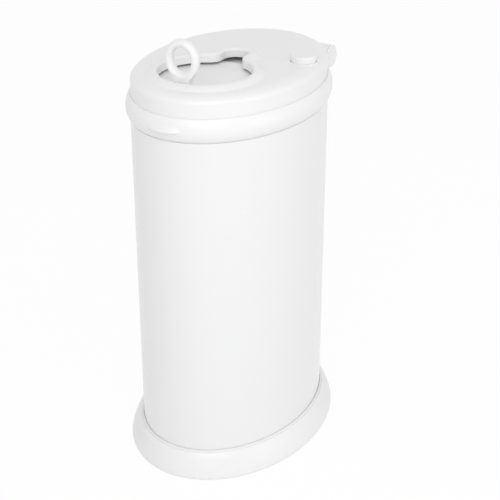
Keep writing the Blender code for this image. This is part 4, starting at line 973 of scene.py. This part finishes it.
# Nodes whose own shape stays
for node, material in (("base_floor", SATIN_PLASTIC), ("hinge_pin", ZINC), ("lock_catch", SATIN_PLASTIC),
                       ("lock_spring", ZINC)):
    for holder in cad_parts[node].material_slots:
        holder.material = material


# Floor, light and camera

def plain_floor():
    """A level sheet that reads as white to the camera and keeps a faint shadow of the object."""
    made = bpy.data.materials.new("studio_floor")
    made.use_nodes = True
    tree = made.node_tree
    shader = tree.nodes["Principled BSDF"]
    shader.inputs["Base Color"].default_value = (0.92, 0.92, 0.92, 1.0)
    shader.inputs["Roughness"].default_value = 0.7
    shader.inputs["Specular IOR Level"].default_value = 0.2
    glow = tree.nodes.new("ShaderNodeEmission")
    glow.inputs["Strength"].default_value = 1.0
    seen = tree.nodes.new("ShaderNodeLightPath")
    both = tree.nodes.new("ShaderNodeMixShader")
    direct = blend_values(tree, "MAXIMUM", seen.outputs["Is Camera Ray"], seen.outputs["Is Glossy Ray"])
    tree.links.new(blend_values(tree, "MULTIPLY", direct, 0.95), both.inputs["Fac"])
    tree.links.new(shader.outputs["BSDF"], both.inputs[1])
    tree.links.new(glow.outputs["Emission"], both.inputs[2])
    tree.links.new(both.outputs["Shader"], tree.nodes["Material Output"].inputs["Surface"])
    mesh = bpy.data.meshes.new("studio_floor")
    reach = 6.0
    level = -0.0002
    corners = [(x * reach, y * reach, level) for x, y in ((-1, -1), (1, -1), (1, 1), (-1, 1))]
    mesh.from_pydata(corners, [], [(0, 1, 2, 3)])
    mesh.materials.append(made)
    floor = bpy.data.objects.new("studio_floor", mesh)
    bpy.context.scene.collection.objects.link(floor)


def lamp(name, place, aim, width, height, power):
    """A rectangular soft box turned towards its aim."""
    light = bpy.data.lights.new(name, "AREA")
    light.shape = "RECTANGLE"
    light.size = width
    light.size_y = height
    light.energy = power
    made = bpy.data.objects.new(name, light)
    made.location = place
    made.rotation_euler = (Vector(aim) - Vector(place)).to_track_quat("-Z", "Y").to_euler()
    bpy.context.scene.collection.objects.link(made)


def surround():
    """Grey room light for the object, and white where the camera or a reflection looks past it."""
    world = bpy.data.worlds.new("studio")
    world.use_nodes = True
    tree = world.node_tree
    plain = tree.nodes["Background"]
    plain.inputs["Color"].default_value = (1.0, 1.0, 1.0, 1.0)
    plain.inputs["Strength"].default_value = 0.68
    white = tree.nodes.new("ShaderNodeBackground")
    white.inputs["Strength"].default_value = 1.0
    white.inputs["Color"].default_value = (1.0, 1.0, 1.0, 1.0)
    seen = tree.nodes.new("ShaderNodeLightPath")
    direct = blend_values(tree, "MAXIMUM", seen.outputs["Is Camera Ray"], seen.outputs["Is Glossy Ray"])
    direct = blend_values(tree, "MAXIMUM", direct, seen.outputs["Is Transmission Ray"])
    both = tree.nodes.new("ShaderNodeMixShader")
    tree.links.new(direct, both.inputs["Fac"])
    tree.links.new(plain.outputs["Background"], both.inputs[1])
    tree.links.new(white.outputs["Background"], both.inputs[2])
    tree.links.new(both.outputs["Shader"], tree.nodes["World Output"].inputs["Surface"])
    bpy.context.scene.world = world


plain_floor()
surround()
AIM = (0.0, 0.0, 0.3)
lamp("key_soft_box", (0.917, -1.654, 1.778), AIM, 1.9, 1.7, 20.0)
lamp("side_soft_box", (2.391, 0.0, 0.75), AIM, 1.4, 1.3, 5.6)

camera = bpy.data.objects.new("camera", bpy.data.cameras.new("camera"))
camera.data.sensor_width = 36.0
camera.data.lens = 86.98
CAMERA_PLACE = Vector((0.7181, -1.2476, 0.9829))
CAMERA_AIM = Vector((0.0203, 0.01125, 0.25704))
camera.location = CAMERA_PLACE
camera.rotation_euler = (CAMERA_AIM - CAMERA_PLACE).to_track_quat("-Z", "Y").to_euler()
bpy.context.scene.collection.objects.link(camera)
bpy.context.scene.camera = camera
bpy.context.scene.view_settings.view_transform = "Standard"
